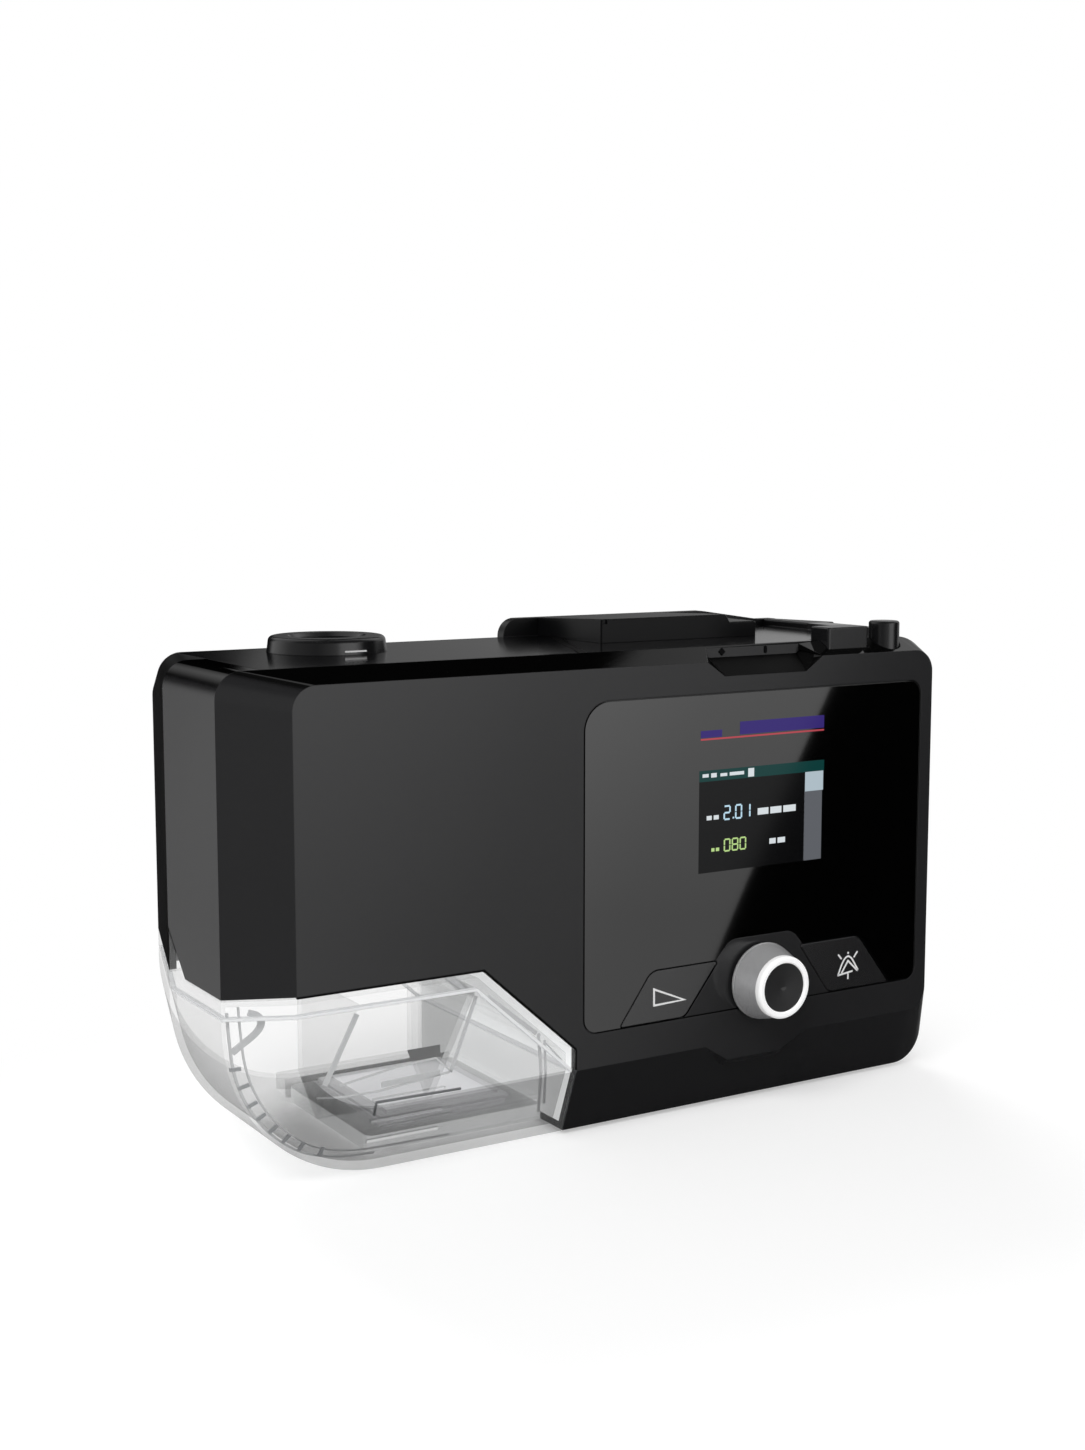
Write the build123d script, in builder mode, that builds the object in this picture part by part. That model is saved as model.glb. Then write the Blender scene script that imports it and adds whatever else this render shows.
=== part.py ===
"""Bedside air machine with a heated water tank: every piece as its own solid.

Millimetres. X runs to the right along the front, Y runs to the back and Z runs up.
The origin lies on the table, in the middle of the machine's outline with its knob.
"""

import math
import os

from build123d import *

os.makedirs("parts", exist_ok=True)

# ------------------------------------------------------------------ driving sizes: body
width = 265.0
height = 152.0
depth = 104.0
foot_proud = 1.5
knob_reach = 12.6  # front face to the knob's front ring

corner_radius = 12.0
right_top_radius = 15.5
left_corner_radius = 8.0
tank_corner_radius = 50.0
front_corner_radius = 7.5
tank_front_radius = 28.0
front_bevel = 8.4  # how far back the bevels round the front face run
left_bevel = 19.7
right_bevel = 6.0
top_bevel = 4.3
skirt_height = 21.6
seam_back = 49.6  # front face to the seam between the two shells
crest_back = 76.4  # front face to where the top starts to fall
rear_taper = 16.5
rear_drop = 8.0

wall = 2.4
front_wall = 3.2
top_wall = 3.2
seat_gap = 0.15  # between an inlaid piece and its recess
glass_gap = 0.45
move_gap = 0.35  # between a moving piece and its guide
screw_gap = 0.05

# ------------------------------------------------------------------ driving sizes: tank
tank_length = 113.7
tank_height = 57.9
tank_step = 28.5  # height of the tank's right-hand end
tank_slope_run = 32.7
tank_gap = 0.6
tank_wall = 2.2
lid_depth = 5.0
gasket_depth = 1.0
gasket_inset = 0.8
ear_length = 12.4
ear_rise = 12.6
ear_depth = 5.0
liner_wall = 2.4
tongue_height = 5.0
tongue_length = 62.0
tongue_width = 60.0
tongue_margin = 8.0
hot_plate_thick = 1.6
hot_plate_length = 46.0
hot_plate_width = 48.0
tank_plate_thick = 1.0
port_radius = 8.0
port_back = 58.0
port_up = 43.2
seal_length = 5.0  # tank's right end to the end of its air seal
baffle_length = 40.0
baffle_thick = 1.4
baffle_foot_back = 34.0
baffle_cheek = 14.0
baffle_cheek_rise = 12.0
rib_length = 24.0
rib_reach = 1.6
rib_thick = 1.0
rib_pitch = 7.0
rib_low = 9.0

# ------------------------------------------------------------------ driving sizes: front
glass_after_tank = 3.4
glass_right_margin = 11.3
glass_low = 33.0
glass_top_margin = 14.8
glass_thick = 1.2
glass_big_radius = 9.0
glass_small_radius = 4.5
button_travel = 0.5
button_thick = 1.3
button_recess = 2.1
front_switch_height = 3.6  # board to the end of a button's stem
stem_radius = 2.0
middle_share = 0.508  # place of the screen's and the knob's middle along the glass
screen_share = 0.603  # and up it
screen_length = 51.6
screen_tall = 34.8
display_border = 2.4
display_thick = 3.4
ramp_far = 0.411  # keys: distance of their feet from the knob, as shares of the glass's length
ramp_near = 0.227
mute_near = 0.212
mute_far = 0.406
stem_share = 0.055
ramp_far_lean = 12.1
ramp_near_lean = 13.2
mute_near_lean = 12.8
mute_far_lean = 13.8
ramp_rise = 16.8
mute_rise = 18.0
stem_rise = 8.0
knob_rise = 8.2
collar_rise = 15.2  # knob's middle to the top of the bare place round it
collar_reach = 12.9
collar_margin = 3.5
collar_radius = 6.0
pedestal_reach = 24.0
pedestal_lean = 10.5
pedestal_drop = 5.6
pedestal_thick = 4.5
board_margin = 6.0
post_margin = 5.0
post_under_screen = 24.0
plug_low = 52.0
plug_length = 14.0
plug_width = 4.0
plug_thick = 3.0
knob_base_radius = 12.7
knob_front_radius = 10.4
knob_cap_radius = 8.1
knob_gap = 0.9
knob_travel = 0.5
shaft_radius = 3.0
shaft_gap = 0.05
encoder_side = 13.0
encoder_thick = 6.5
encoder_floor = 0.5
plunger_thick = 0.8
bush_radius = 3.6
panel_board_thick = 1.6

# ------------------------------------------------------------------ driving sizes: top
inlay_thick = 1.6
inlay_margin = 14.0
seam_front_across = 120.3  # diagonal joint of the two top plates, at the front
seam_back_across = 155.0
seam_width = 0.4
module_right = 54.7
module_length = 64.0
module_front = 36.0
module_tall = 7.9
module_step = 2.7
module_step_length = 11.2
module_step_slant = 1.6
module_clear = 0.5
module_notch = 1.6
ridge_left = 132.6
ridge_right = 13.5
ridge_thick = 5.0
ridge_tall = 6.2
ridge_low = 2.3
ridge_fall_start = 35.0  # right end of the ridge to where its top starts to fall
ridge_fall_end = 9.0
ridge_round = 6.0
rim_front = 22.0  # front face to the front end of the low rim
rim_inset = 12.4
rim_front_width = 8.6
rim_length = 15.0  # right end of the top plates to the outer edge of the low rim
rim_width = 13.0
outlet_across = 56.9
outlet_back = 56.6
outlet_radius = 18.9
outlet_top_radius = 18.2
outlet_tall = 5.0
outlet_bore = 11.0
outlet_depth = 18.0
outlet_chamfer = 1.2
duct_bore = 9.5
duct_wall = 2.0
flange_thick = 2.5
notch_right = 54.6
notch_length = 47.0
notch_slant = 6.9
notch_depth = 7.3
notch_inset = 4.6
notch_floor_drop = 4.8
notch_back_drop = 3.7
lamp_inset = 10.8
lamp_drop = 1.9
lamp_radius = 1.3
slit_inset = 28.6
slit_width = 1.0
slit_tall = 2.4
box_button_right = 40.7
box_button_length = 17.4
box_button_depth = 9.6
box_button_proud = 4.5
round_button_right = 22.2
round_button_back = 6.9
round_button_radius = 5.2
round_button_proud = 5.8
top_button_travel = 0.8
top_button_below = 5.0
top_board_back = 34.0
top_board_margin = 9.0
switch_height = 5.0  # board to the foot of a button above its switch
switch_side = 6.0
switch_pin_radius = 1.7
switch_clear = 0.1

# ------------------------------------------------------------------ driving sizes: inside
blower_right = 70.5
volute_radius = 36.0
volute_start_radius = 31.0
volute_depth = 24.0
volute_wall = 2.0
throat_height = 16.0
throat_length = 6.0
impeller_radius = 26.5
impeller_depth = 13.0
blade_count = 11
blade_thick = 1.4
motor_radius = 17.0
motor_depth = 19.0
motor_shaft_radius = 2.0
spring_well = 3.0
spring_radius = 3.4
spring_turns = 2
spring_inset = 8.0
inlet_radius = 14.0
collar_length = 10.0
mount_radius = 5.0
mount_across = 20.0
mount_apart = 7.0
mount_rise = 28.0  # floor to the foot of the blower's rubber mounts
filter_length = 60.0
filter_tall = 50.0
filter_thick = 7.0
filter_frame = 2.0
filter_up = 76.5
cover_thick = 2.6
slot_count = 7
slot_height = 3.2
jack_right = 45.5
jack_up = 24.0
jack_radius = 4.0
jack_pin_radius = 1.0
jack_length = 13.0
board_thick = 1.6
board_up = 10.0
plate_after_tank = 12.3
plate_right = 34.5
plate_margin = 18.0
plate_lip = 8.0
boss_height = 9.0
foot_radius = 7.0
foot_sunk = 1.0
foot_inset = 10.0
stand_inset = 6.0
board_edge = 4.5
board_front = 14.0
board_rear = 8.0
chip_side = 12.0
plug_side = 8.0
plug_tall = 5.0
fan_plug_length = 16.0
fan_plug_tall = 6.0
capacitor_radius = 4.0
capacitor_tall = 12.0
capacitor_across = 36.0
screw_radius = 1.3
screw_head_radius = 2.7
post_radius = 3.4

# ------------------------------------------------------------------ shared places
x_left = -width / 2
x_right = width / 2
y_front = (knob_reach - depth) / 2
y_rear = y_front + depth
y_seam = y_front + seam_back
y_crest = y_front + crest_back
z_low = foot_proud
z_top = z_low + height
y_inside = y_front + front_wall
z_inside_top = z_top - top_wall
z_roof = z_low + tank_height
tank_right = x_left + tank_length
tank_shoulder = tank_right - tank_slope_run
y_board = y_inside + encoder_thick
top_plane = Plane.XY.offset(z_top)
far = 2 * width


def save(piece, name):
    """Name a finished solid and write it as its own file."""
    piece.label = name
    export_step(piece, f"parts/{name}.step")


def brick(x, y, z, mode=Mode.ADD):
    """Straight-sided piece between two values along each axis."""
    with Locations(((x[0] + x[1]) / 2, (y[0] + y[1]) / 2, (z[0] + z[1]) / 2)):
        Box(x[1] - x[0], y[1] - y[0], z[1] - z[0], mode=mode)


def rod(x, z, radius, y, mode=Mode.ADD):
    """Round bar along Y between two depths."""
    with Locations(Location((x, (y[0] + y[1]) / 2, z), (90, 0, 0))):
        Cylinder(radius, y[1] - y[0], mode=mode)


def post(x, y, radius, z, mode=Mode.ADD):
    """Round upright between two heights."""
    with Locations((x, y, (z[0] + z[1]) / 2)):
        Cylinder(radius, z[1] - z[0], mode=mode)


def upright_outline(y, points, radii, gap=0.0):
    """Closed outline seen from the front, at depth y, grown by a gap."""
    with BuildSketch(Plane.XZ.offset(-y)) as outline:
        with BuildLine():
            FilletPolyline(*points, radius=radii, close=True)
        make_face()
        if gap:
            offset(amount=gap)
    return outline.sketch


# ------------------------------------------------------------------ whole body, outside and inside
def body_section(y, left, right, low, high, radii):
    """Rounded rectangle across the body; radii start at the lower left and go round by the right."""
    return upright_outline(y, [(left, low), (right, low), (right, high), (left, high)], radii)


def body_form(skin=0.0, front_skin=0.0, top_skin=0.0):
    """The body's whole form, drawn in by the thickness of its skin."""
    front_radii = [tank_front_radius] + [front_corner_radius] * 3
    corners = [tank_corner_radius, corner_radius, right_top_radius, left_corner_radius]
    full_radii = [radius - skin for radius in corners]
    low = z_low + skin
    high = z_top - top_skin
    face = body_section(
        y_front + front_skin,
        x_left + left_bevel,
        x_right - max(right_bevel, skin),
        z_low + skirt_height,
        z_top - max(top_bevel, top_skin + skin / 2),
        front_radii,
    )

    def ring(y, drop=0.0):
        taper = rear_taper * max(0.0, (y - y_seam) / (y_rear - y_seam))
        inset = skin + taper
        return body_section(y, x_left + inset, x_right - inset, low, high - drop, full_radii)

    with BuildPart() as form:
        loft([face, ring(y_front + front_bevel + skin)], ruled=True)
        loft([ring(y_front + front_bevel + skin), ring(y_seam)], ruled=True)
        loft([ring(y_seam), ring(y_crest)], ruled=True)
        loft([ring(y_crest), ring(y_rear - skin, rear_drop)], ruled=True)
    return form.part


outer_form = body_form()
inner_form = body_form(wall, front_wall, top_wall)


# ------------------------------------------------------------------ space that the tank fills
def bay_prism(gap=0.0):
    """Room for the tank under its sloping shoulder, open to the left and below."""
    points = [
        (-far, -far),
        (tank_right, -far),
        (tank_right, z_low + tank_step),
        (tank_shoulder, z_roof),
        (-far, z_roof),
    ]
    with BuildPart() as prism:
        with BuildSketch(Plane.XZ):
            with BuildLine():
                Polyline(*points, close=True)
            make_face()
            if gap:
                offset(amount=gap, kind=Kind.INTERSECTION)
        extrude(amount=2 * depth, both=True)
    return prism.part


def ear_prism(gap=0.0):
    """Corner of the tank that stands up at the back of the left side."""
    back = y_seam - tank_gap
    with BuildPart() as prism:
        with BuildSketch(Plane.YZ.offset(x_left - wall)):
            with BuildLine():
                Polyline(
                    (back - ear_length, z_roof),
                    (back, z_roof + ear_rise),
                    (back, z_roof - lid_depth / 2),
                    (back - ear_length, z_roof - lid_depth / 2),
                    close=True,
                )
            make_face()
            if gap:
                offset(amount=gap, kind=Kind.INTERSECTION)
        extrude(amount=wall + ear_depth + gap)
    return prism.part


bay_cut = bay_prism(tank_gap)
liner_form = bay_prism(tank_gap + liner_wall)
ear_cut = ear_prism(tank_gap)

# ------------------------------------------------------------------ outlines on the front face
glass_x = tank_right + glass_after_tank
glass_z = z_low + glass_low
glass_end_x = x_right - glass_right_margin
glass_length = glass_end_x - glass_x
glass_top_z = z_top - glass_top_margin
knob_x = glass_x + middle_share * glass_length
knob_z = glass_z + knob_rise
ramp_top = glass_z + ramp_rise
mute_top = glass_z + mute_rise
collar_top = knob_z + collar_rise

ramp_far_x = knob_x - ramp_far * glass_length
ramp_near_x = knob_x - ramp_near * glass_length
mute_near_x = knob_x + mute_near * glass_length
mute_far_x = knob_x + mute_far * glass_length
collar_points = [
    (ramp_near_x - collar_margin, glass_z),
    (knob_x - collar_reach, collar_top),
    (knob_x + collar_reach, collar_top),
    (mute_near_x + collar_margin, glass_z),
]
ramp_points = [
    (ramp_far_x, glass_z),
    (ramp_far_x + ramp_far_lean, ramp_top),
    (ramp_near_x + ramp_near_lean, ramp_top),
    (ramp_near_x, glass_z),
]
mute_points = [
    (mute_near_x, glass_z),
    (mute_near_x - mute_near_lean, mute_top),
    (mute_far_x - mute_far_lean, mute_top),
    (mute_far_x, glass_z),
]
ramp_radii = [0.6, 5.0, 0.6, 4.0]
mute_radii = [4.0, 0.6, 5.0, 0.6]
glass_points = [
    (glass_x, glass_z),
    (glass_end_x, glass_z),
    (glass_end_x, glass_top_z),
    (glass_x, glass_top_z),
]
glass_radii = [glass_small_radius, glass_small_radius, glass_small_radius, glass_big_radius]

glass_outline = upright_outline(y_front, glass_points, glass_radii)
glass_recess = upright_outline(y_front, glass_points, glass_radii, glass_gap)
collar_radii = [0.4, collar_radius, collar_radius, 0.4]
collar_outline = upright_outline(y_front, collar_points, collar_radii)
ramp_outline = upright_outline(y_front, ramp_points, ramp_radii)
mute_outline = upright_outline(y_front, mute_points, mute_radii)
ramp_recess = upright_outline(y_front, ramp_points, ramp_radii, move_gap)
mute_recess = upright_outline(y_front, mute_points, mute_radii, move_gap)
stem_spread = stem_share * glass_length
ramp_middle = (ramp_points[0][0] + ramp_points[2][0]) / 2
mute_middle = (mute_points[0][0] + mute_points[2][0]) / 2
ramp_stems = [ramp_middle - stem_spread, ramp_middle + stem_spread]
mute_stems = [mute_middle - stem_spread, mute_middle + stem_spread]
stem_z = glass_z + stem_rise

screen_x = knob_x
screen_z = glass_z + screen_share * (glass_top_z - glass_z)
display_half_x = screen_length / 2 + display_border
display_half_z = screen_tall / 2 + display_border
window_x = (screen_x - display_half_x - seat_gap, screen_x + display_half_x + seat_gap)
window_z = (screen_z - display_half_z - seat_gap, screen_z + display_half_z + seat_gap)

board_x = (glass_x + board_margin, glass_end_x - board_margin)
board_z = (glass_z - board_margin / 2, glass_top_z - board_margin)
post_x = (board_x[0] + post_margin, board_x[1] - post_margin)
post_z = (board_z[1] - post_margin, screen_z - post_under_screen)
board_posts = [(x, z) for x in post_x for z in post_z]

# ------------------------------------------------------------------ places on the top
y_inlay_front = y_front + front_bevel + 1.2
y_inlay_back = y_crest - 1.2
x_inlay = (x_left + inlay_margin, x_right - inlay_margin - rear_taper / 2)
seam_x = (x_left + seam_front_across, x_left + seam_back_across)
outlet_x = x_left + outlet_across
outlet_y = y_front + outlet_back
duct_radius = outlet_bore + duct_wall
module_x = (x_right - module_right - module_length, x_right - module_right)
module_y = (y_front + module_front, y_crest - module_clear)
box_middle_x = x_right - box_button_right
box_x = (box_middle_x - box_button_length / 2, box_middle_x + box_button_length / 2)
box_y = (y_inside + move_gap, y_inside + move_gap + box_button_depth)
round_x = x_right - round_button_right
round_y = y_front + round_button_back
round_hole_radius = round_button_radius + move_gap
z_button_foot = z_inside_top - top_button_below
z_top_board = z_button_foot - switch_height
notch_x = (x_right - notch_right - notch_length, x_right - notch_right)
top_board_x = (notch_x[1] + wall + 1.0, round_x + top_board_margin)
top_board_y = (y_inside + move_gap, y_front + top_board_back)
hanger_x = (top_board_x[0] + post_margin, top_board_x[1] - post_margin)
hanger_places = [(x, top_board_y[1] - post_margin) for x in hanger_x]
top_switches = [((box_x[0] + box_x[1]) / 2, (box_y[0] + box_y[1]) / 2), (round_x, round_y)]
ridge_x = (x_left + ridge_left, x_right - ridge_right)


def inlay_outline(left_side):
    """One of the two top plates: both end at the slanted joint between them."""
    half = seam_width / 2
    side = x_inlay[0] if left_side else x_inlay[1]
    shift = -half if left_side else half
    with BuildSketch(top_plane) as outline:
        with BuildLine():
            Polyline(
                (side, y_inlay_front),
                (seam_x[0] + shift, y_inlay_front),
                (seam_x[1] + shift, y_inlay_back),
                (side, y_inlay_back),
                close=True,
            )
        make_face()
    return outline.sketch


# ------------------------------------------------------------------ front shell
def notch_cut():
    """Finger notch in the front edge of the top: upright back, sloping floor, ends that close in."""
    ledge = z_top - top_bevel
    above = z_top + top_bevel
    front_points = [
        (notch_x[0], above),
        (notch_x[0], ledge),
        (notch_x[0] + notch_slant, ledge - notch_floor_drop),
        (notch_x[1] - notch_slant, ledge - notch_floor_drop),
        (notch_x[1], ledge),
        (notch_x[1], above),
    ]
    back_floor = z_top - notch_back_drop
    back_x = (notch_x[0] + notch_inset, notch_x[1] - notch_inset)
    back_points = [
        (back_x[0], above),
        (back_x[0], back_floor + 1.0),
        (back_x[0] + 1.0, back_floor),
        (back_x[1] - 1.0, back_floor),
        (back_x[1], back_floor + 1.0),
        (back_x[1], above),
    ]
    with BuildPart() as cut:
        with BuildSketch(Plane.XZ.offset(-y_front)):
            with BuildLine():
                Polyline(*front_points, close=True)
            make_face()
        with BuildSketch(Plane.XZ.offset(-(y_front + notch_depth))):
            with BuildLine():
                Polyline(*back_points, close=True)
            make_face()
        loft(ruled=True)
    return cut.part


def pedestal():
    """Wedge under the knob that carries the front face down over the sloping skirt."""
    high = z_low + skirt_height + 1.0
    low = z_low + skirt_height - pedestal_drop
    points = [
        (knob_x - pedestal_reach, high),
        (knob_x - pedestal_reach + pedestal_lean, low),
        (knob_x + pedestal_reach - 1.5 * pedestal_lean, low),
        (knob_x + pedestal_reach - 0.2 * pedestal_lean, high),
    ]
    with BuildPart() as wedge:
        extrude(upright_outline(y_front, points, [0.5] * 4), amount=-pedestal_thick, taper=-38)
        with Locations((knob_x, y_front + depth / 2, z_top)):
            Box(far, depth, 2 * (z_top - high), mode=Mode.SUBTRACT)
    return wedge.part


notch = notch_cut()
wedge_part = pedestal()
left_inlay_recess = offset(inlay_outline(True), amount=seat_gap, kind=Kind.INTERSECTION)
right_inlay_recess = offset(inlay_outline(False), amount=seat_gap, kind=Kind.INTERSECTION)


# ------------------------------------------------------------------ places on the underside
y_middle = (y_front + y_rear) / 2
plate_x = (tank_right + plate_after_tank, x_right - plate_right)
plate_y = (y_front + plate_margin, y_rear - plate_margin)
lip_thick = wall / 2
screw_x = (plate_x[0] - plate_lip / 2, plate_x[1] + plate_lip / 2)
screw_y = (plate_y[0] + stand_inset, plate_y[1] - stand_inset)
screw_places = [(x, y) for x in screw_x for y in screw_y]
tongue_x = (tank_right + tank_gap - tongue_length, tank_right + tank_gap)
tongue_y = (y_middle - tongue_width / 2, y_middle + tongue_width / 2)
foot_x = (tongue_x[0] + foot_inset, plate_x[1] - foot_inset)
plate_feet = [(foot_x[1], y) for y in (plate_y[0] + foot_inset, plate_y[1] - foot_inset)]
tongue_feet = [(foot_x[0], y) for y in (tongue_y[0] + foot_inset, tongue_y[1] - foot_inset)]
stand_x = (plate_x[0] + stand_inset, plate_x[1] - stand_inset)
stand_y = (plate_y[0] + board_front, plate_y[1] - board_rear)
board_stands = [(x, y) for x in stand_x for y in stand_y]
blower_x = x_right - blower_right
port_y = y_front + port_back
port_z = z_low + port_up
mount_x = (blower_x - mount_across, blower_x + mount_across)
mount_places = [(x, port_y + side * mount_apart) for x in mount_x for side in (-1, 1)]
z_mount = z_low + mount_rise


def plate_form(gap, mode):
    """Stepped opening in the floor of both shells, or the plate that fills it."""
    brick(
        (plate_x[0] - gap, plate_x[1] + gap),
        (plate_y[0] - gap, plate_y[1] + gap),
        (z_low + lip_thick, z_low + wall),
        mode=mode,
    )
    brick(
        (plate_x[0] - plate_lip - gap, plate_x[1] + plate_lip + gap),
        (plate_y[0] - plate_lip - gap, plate_y[1] + plate_lip + gap),
        (z_low, z_low + lip_thick),
        mode=mode,
    )


def shell_floor(row_y):
    """Screw bosses on a shell's floor and the shell's share of the opening."""
    plate_form(0.0, Mode.SUBTRACT)
    for x in screw_x:
        post(x, row_y, post_radius, (z_low + lip_thick, z_low + boss_height))
        post(x, row_y, screw_radius + screw_gap, (z_low, z_low + boss_height - 1.0), mode=Mode.SUBTRACT)


# ------------------------------------------------------------------ front shell
with BuildPart() as front_shell:
    add(outer_form)
    add(inner_form, mode=Mode.SUBTRACT)
    split(bisect_by=Plane.XZ.offset(-y_seam), keep=Keep.TOP)
    brick(
        (notch_x[0] - wall, notch_x[1] + wall),
        (y_inside, y_front + notch_depth + wall),
        (z_top - top_bevel - notch_floor_drop - 2 * wall, z_inside_top),
    )
    brick(
        (x_right - rim_inset - rim_front_width, x_right - rim_inset),
        (y_front + rim_front, y_seam),
        (z_inside_top, z_top + ridge_low),
    )
    add(wedge_part)
    for x, z in board_posts:
        rod(x, z, post_radius, (y_inside, y_board))
    for x, y in hanger_places:
        post(x, y, post_radius, (z_top_board, z_inside_top))
    add(bay_cut, mode=Mode.SUBTRACT)
    add(ear_cut, mode=Mode.SUBTRACT)
    shell_floor(screw_y[0])
    add(notch, mode=Mode.SUBTRACT)
    extrude(glass_recess - collar_outline, amount=-glass_thick, mode=Mode.SUBTRACT)
    extrude(ramp_recess, amount=-button_recess, mode=Mode.SUBTRACT)
    extrude(mute_recess, amount=-button_recess, mode=Mode.SUBTRACT)
    brick(window_x, (y_front, y_inside), window_z, mode=Mode.SUBTRACT)
    rod(knob_x, knob_z, bush_radius + seat_gap, (y_front - 1.0, y_inside + 1.0), mode=Mode.SUBTRACT)
    for x in ramp_stems + mute_stems:
        rod(x, stem_z, stem_radius + move_gap, (y_front, y_inside + 1.0), mode=Mode.SUBTRACT)
    for x, z in board_posts:
        rod(x, z, screw_radius + screw_gap, (y_inside + 1.0, y_board), mode=Mode.SUBTRACT)
    for x, y in hanger_places:
        post(x, y, screw_radius + screw_gap, (z_top_board, z_inside_top), mode=Mode.SUBTRACT)
    extrude(left_inlay_recess, amount=-inlay_thick, mode=Mode.SUBTRACT)
    extrude(right_inlay_recess, amount=-inlay_thick, mode=Mode.SUBTRACT)
    post(outlet_x, outlet_y, duct_radius + seat_gap, (z_inside_top - 1.0, z_top), mode=Mode.SUBTRACT)
    brick(
        (box_x[0] - move_gap, box_x[1] + move_gap),
        (box_y[0] - move_gap, box_y[1] + move_gap),
        (z_button_foot - 1.0, z_top + 1.0),
        mode=Mode.SUBTRACT,
    )
    post(round_x, round_y, round_hole_radius, (z_button_foot - 1.0, z_top + 1.0), mode=Mode.SUBTRACT)
save(front_shell.part, "front_shell")

# ------------------------------------------------------------------ rear cover
filter_x = blower_x
filter_z = z_low + filter_up
filter_gap_x = (filter_x - filter_length / 2 - filter_frame, filter_x + filter_length / 2 + filter_frame)
filter_gap_z = (filter_z - filter_tall / 2 - filter_frame, filter_z + filter_tall / 2 + filter_frame)
jack_x = x_right - jack_right
jack_z = z_low + jack_up
jack_half = jack_radius + 2.2


def ridge():
    """Raised edge behind the top plates, high from its rounded left end and falling to the right."""
    with BuildPart() as bar:
        with BuildSketch(Plane.XZ.offset(-y_crest)):
            with BuildLine():
                FilletPolyline(
                    (ridge_x[0], z_inside_top),
                    (ridge_x[1], z_inside_top),
                    (ridge_x[1], z_top + ridge_low),
                    (ridge_x[1] - ridge_fall_end, z_top + ridge_low),
                    (ridge_x[1] - ridge_fall_start, z_top + ridge_tall),
                    (ridge_x[0], z_top + ridge_tall),
                    radius=[0, 0, 1.5, 12.0, 12.0, ridge_round],
                    close=True,
                )
            make_face()
        extrude(amount=-ridge_thick)
        rear_rim = bar.edges().group_by(Axis.Y)[-1].filter_by(lambda edge: edge.center().Z > z_top)
        fillet(rear_rim, 1.2)
    return bar.part


ridge_part = ridge()


def side_rim():
    """Low rim along the right end of the top, from the seam back to the crest."""
    right = x_inlay[1] + rim_length
    with BuildPart() as rim:
        with BuildSketch(Plane.XY.offset(z_inside_top)):
            with BuildLine():
                FilletPolyline(
                    (right - rim_width, y_seam),
                    (right, y_seam),
                    (right - (y_crest - y_seam) * rear_taper / (depth - seam_back), y_crest),
                    (right - rim_width, y_crest),
                    radius=[0.8, 1.5, 1.5, 0.8],
                    close=True,
                )
            make_face()
        extrude(amount=top_wall + ridge_low)
        fillet(rim.faces().sort_by(Axis.Z)[-1].edges(), 0.6)
    return rim.part

with BuildPart() as rear_cover:
    add(outer_form)
    add(inner_form, mode=Mode.SUBTRACT)
    split(bisect_by=Plane.XZ.offset(-y_seam), keep=Keep.BOTTOM)
    add(ridge_part)
    add(side_rim())
    add(bay_cut, mode=Mode.SUBTRACT)
    shell_floor(screw_y[1])
    extrude(left_inlay_recess, amount=-inlay_thick, mode=Mode.SUBTRACT)
    extrude(right_inlay_recess, amount=-inlay_thick, mode=Mode.SUBTRACT)
    post(outlet_x, outlet_y, duct_radius + seat_gap, (z_inside_top - 1.0, z_top), mode=Mode.SUBTRACT)
    brick(
        (filter_gap_x[0] - move_gap, filter_gap_x[1] + move_gap),
        (y_rear - wall - 1.0, y_rear + 1.0),
        (filter_gap_z[0] - move_gap, filter_gap_z[1] + move_gap),
        mode=Mode.SUBTRACT,
    )
    brick(
        (jack_x - jack_half - seat_gap, jack_x + jack_half + seat_gap),
        (y_rear - wall - 1.0, y_rear + 1.0),
        (jack_z - jack_half - seat_gap, jack_z + jack_half + seat_gap),
        mode=Mode.SUBTRACT,
    )
save(rear_cover.part, "rear_cover")

# ------------------------------------------------------------------ base plate, feet and screws
with BuildPart() as base_plate:
    plate_form(-seat_gap, Mode.ADD)
    for x, y in board_stands:
        post(x, y, post_radius, (z_low + wall, z_low + board_up))
    for x, y in mount_places:
        post(x, y, post_radius, (z_low + wall, z_mount))
    for x, y in plate_feet:
        post(x, y, foot_radius, (z_low - 1.0, z_low + foot_sunk), mode=Mode.SUBTRACT)
    for x, y in screw_places:
        post(x, y, screw_head_radius, (z_low - 1.0, z_low + lip_thick / 2), mode=Mode.SUBTRACT)
        post(x, y, screw_radius + screw_gap, (z_low, z_low + wall + 1.0), mode=Mode.SUBTRACT)
    for x, y in board_stands:
        post(x, y, screw_radius + screw_gap, (z_low + wall, z_low + board_up + 1.0), mode=Mode.SUBTRACT)
save(base_plate.part, "base_plate")

with BuildPart() as rubber_feet:
    for x, y in plate_feet + tongue_feet:
        with BuildSketch(Plane((x, y, 0.0))):
            Circle(foot_radius - 0.8)
        extrude(amount=0.8, taper=-30)
        post(x, y, foot_radius - seat_gap, (0.5, z_low + foot_sunk))
save(rubber_feet.part, "rubber_feet")

with BuildPart() as base_screws:
    for x, y in screw_places:
        post(x, y, screw_head_radius - screw_gap, (z_low, z_low + lip_thick / 2))
        post(x, y, screw_radius, (z_low, z_low + boss_height - 1.5))
        with Locations((x, y, z_low)):
            Cone(0.9, 0.2, 1.4, mode=Mode.SUBTRACT)
save(base_screws.part, "base_screws")

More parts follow.
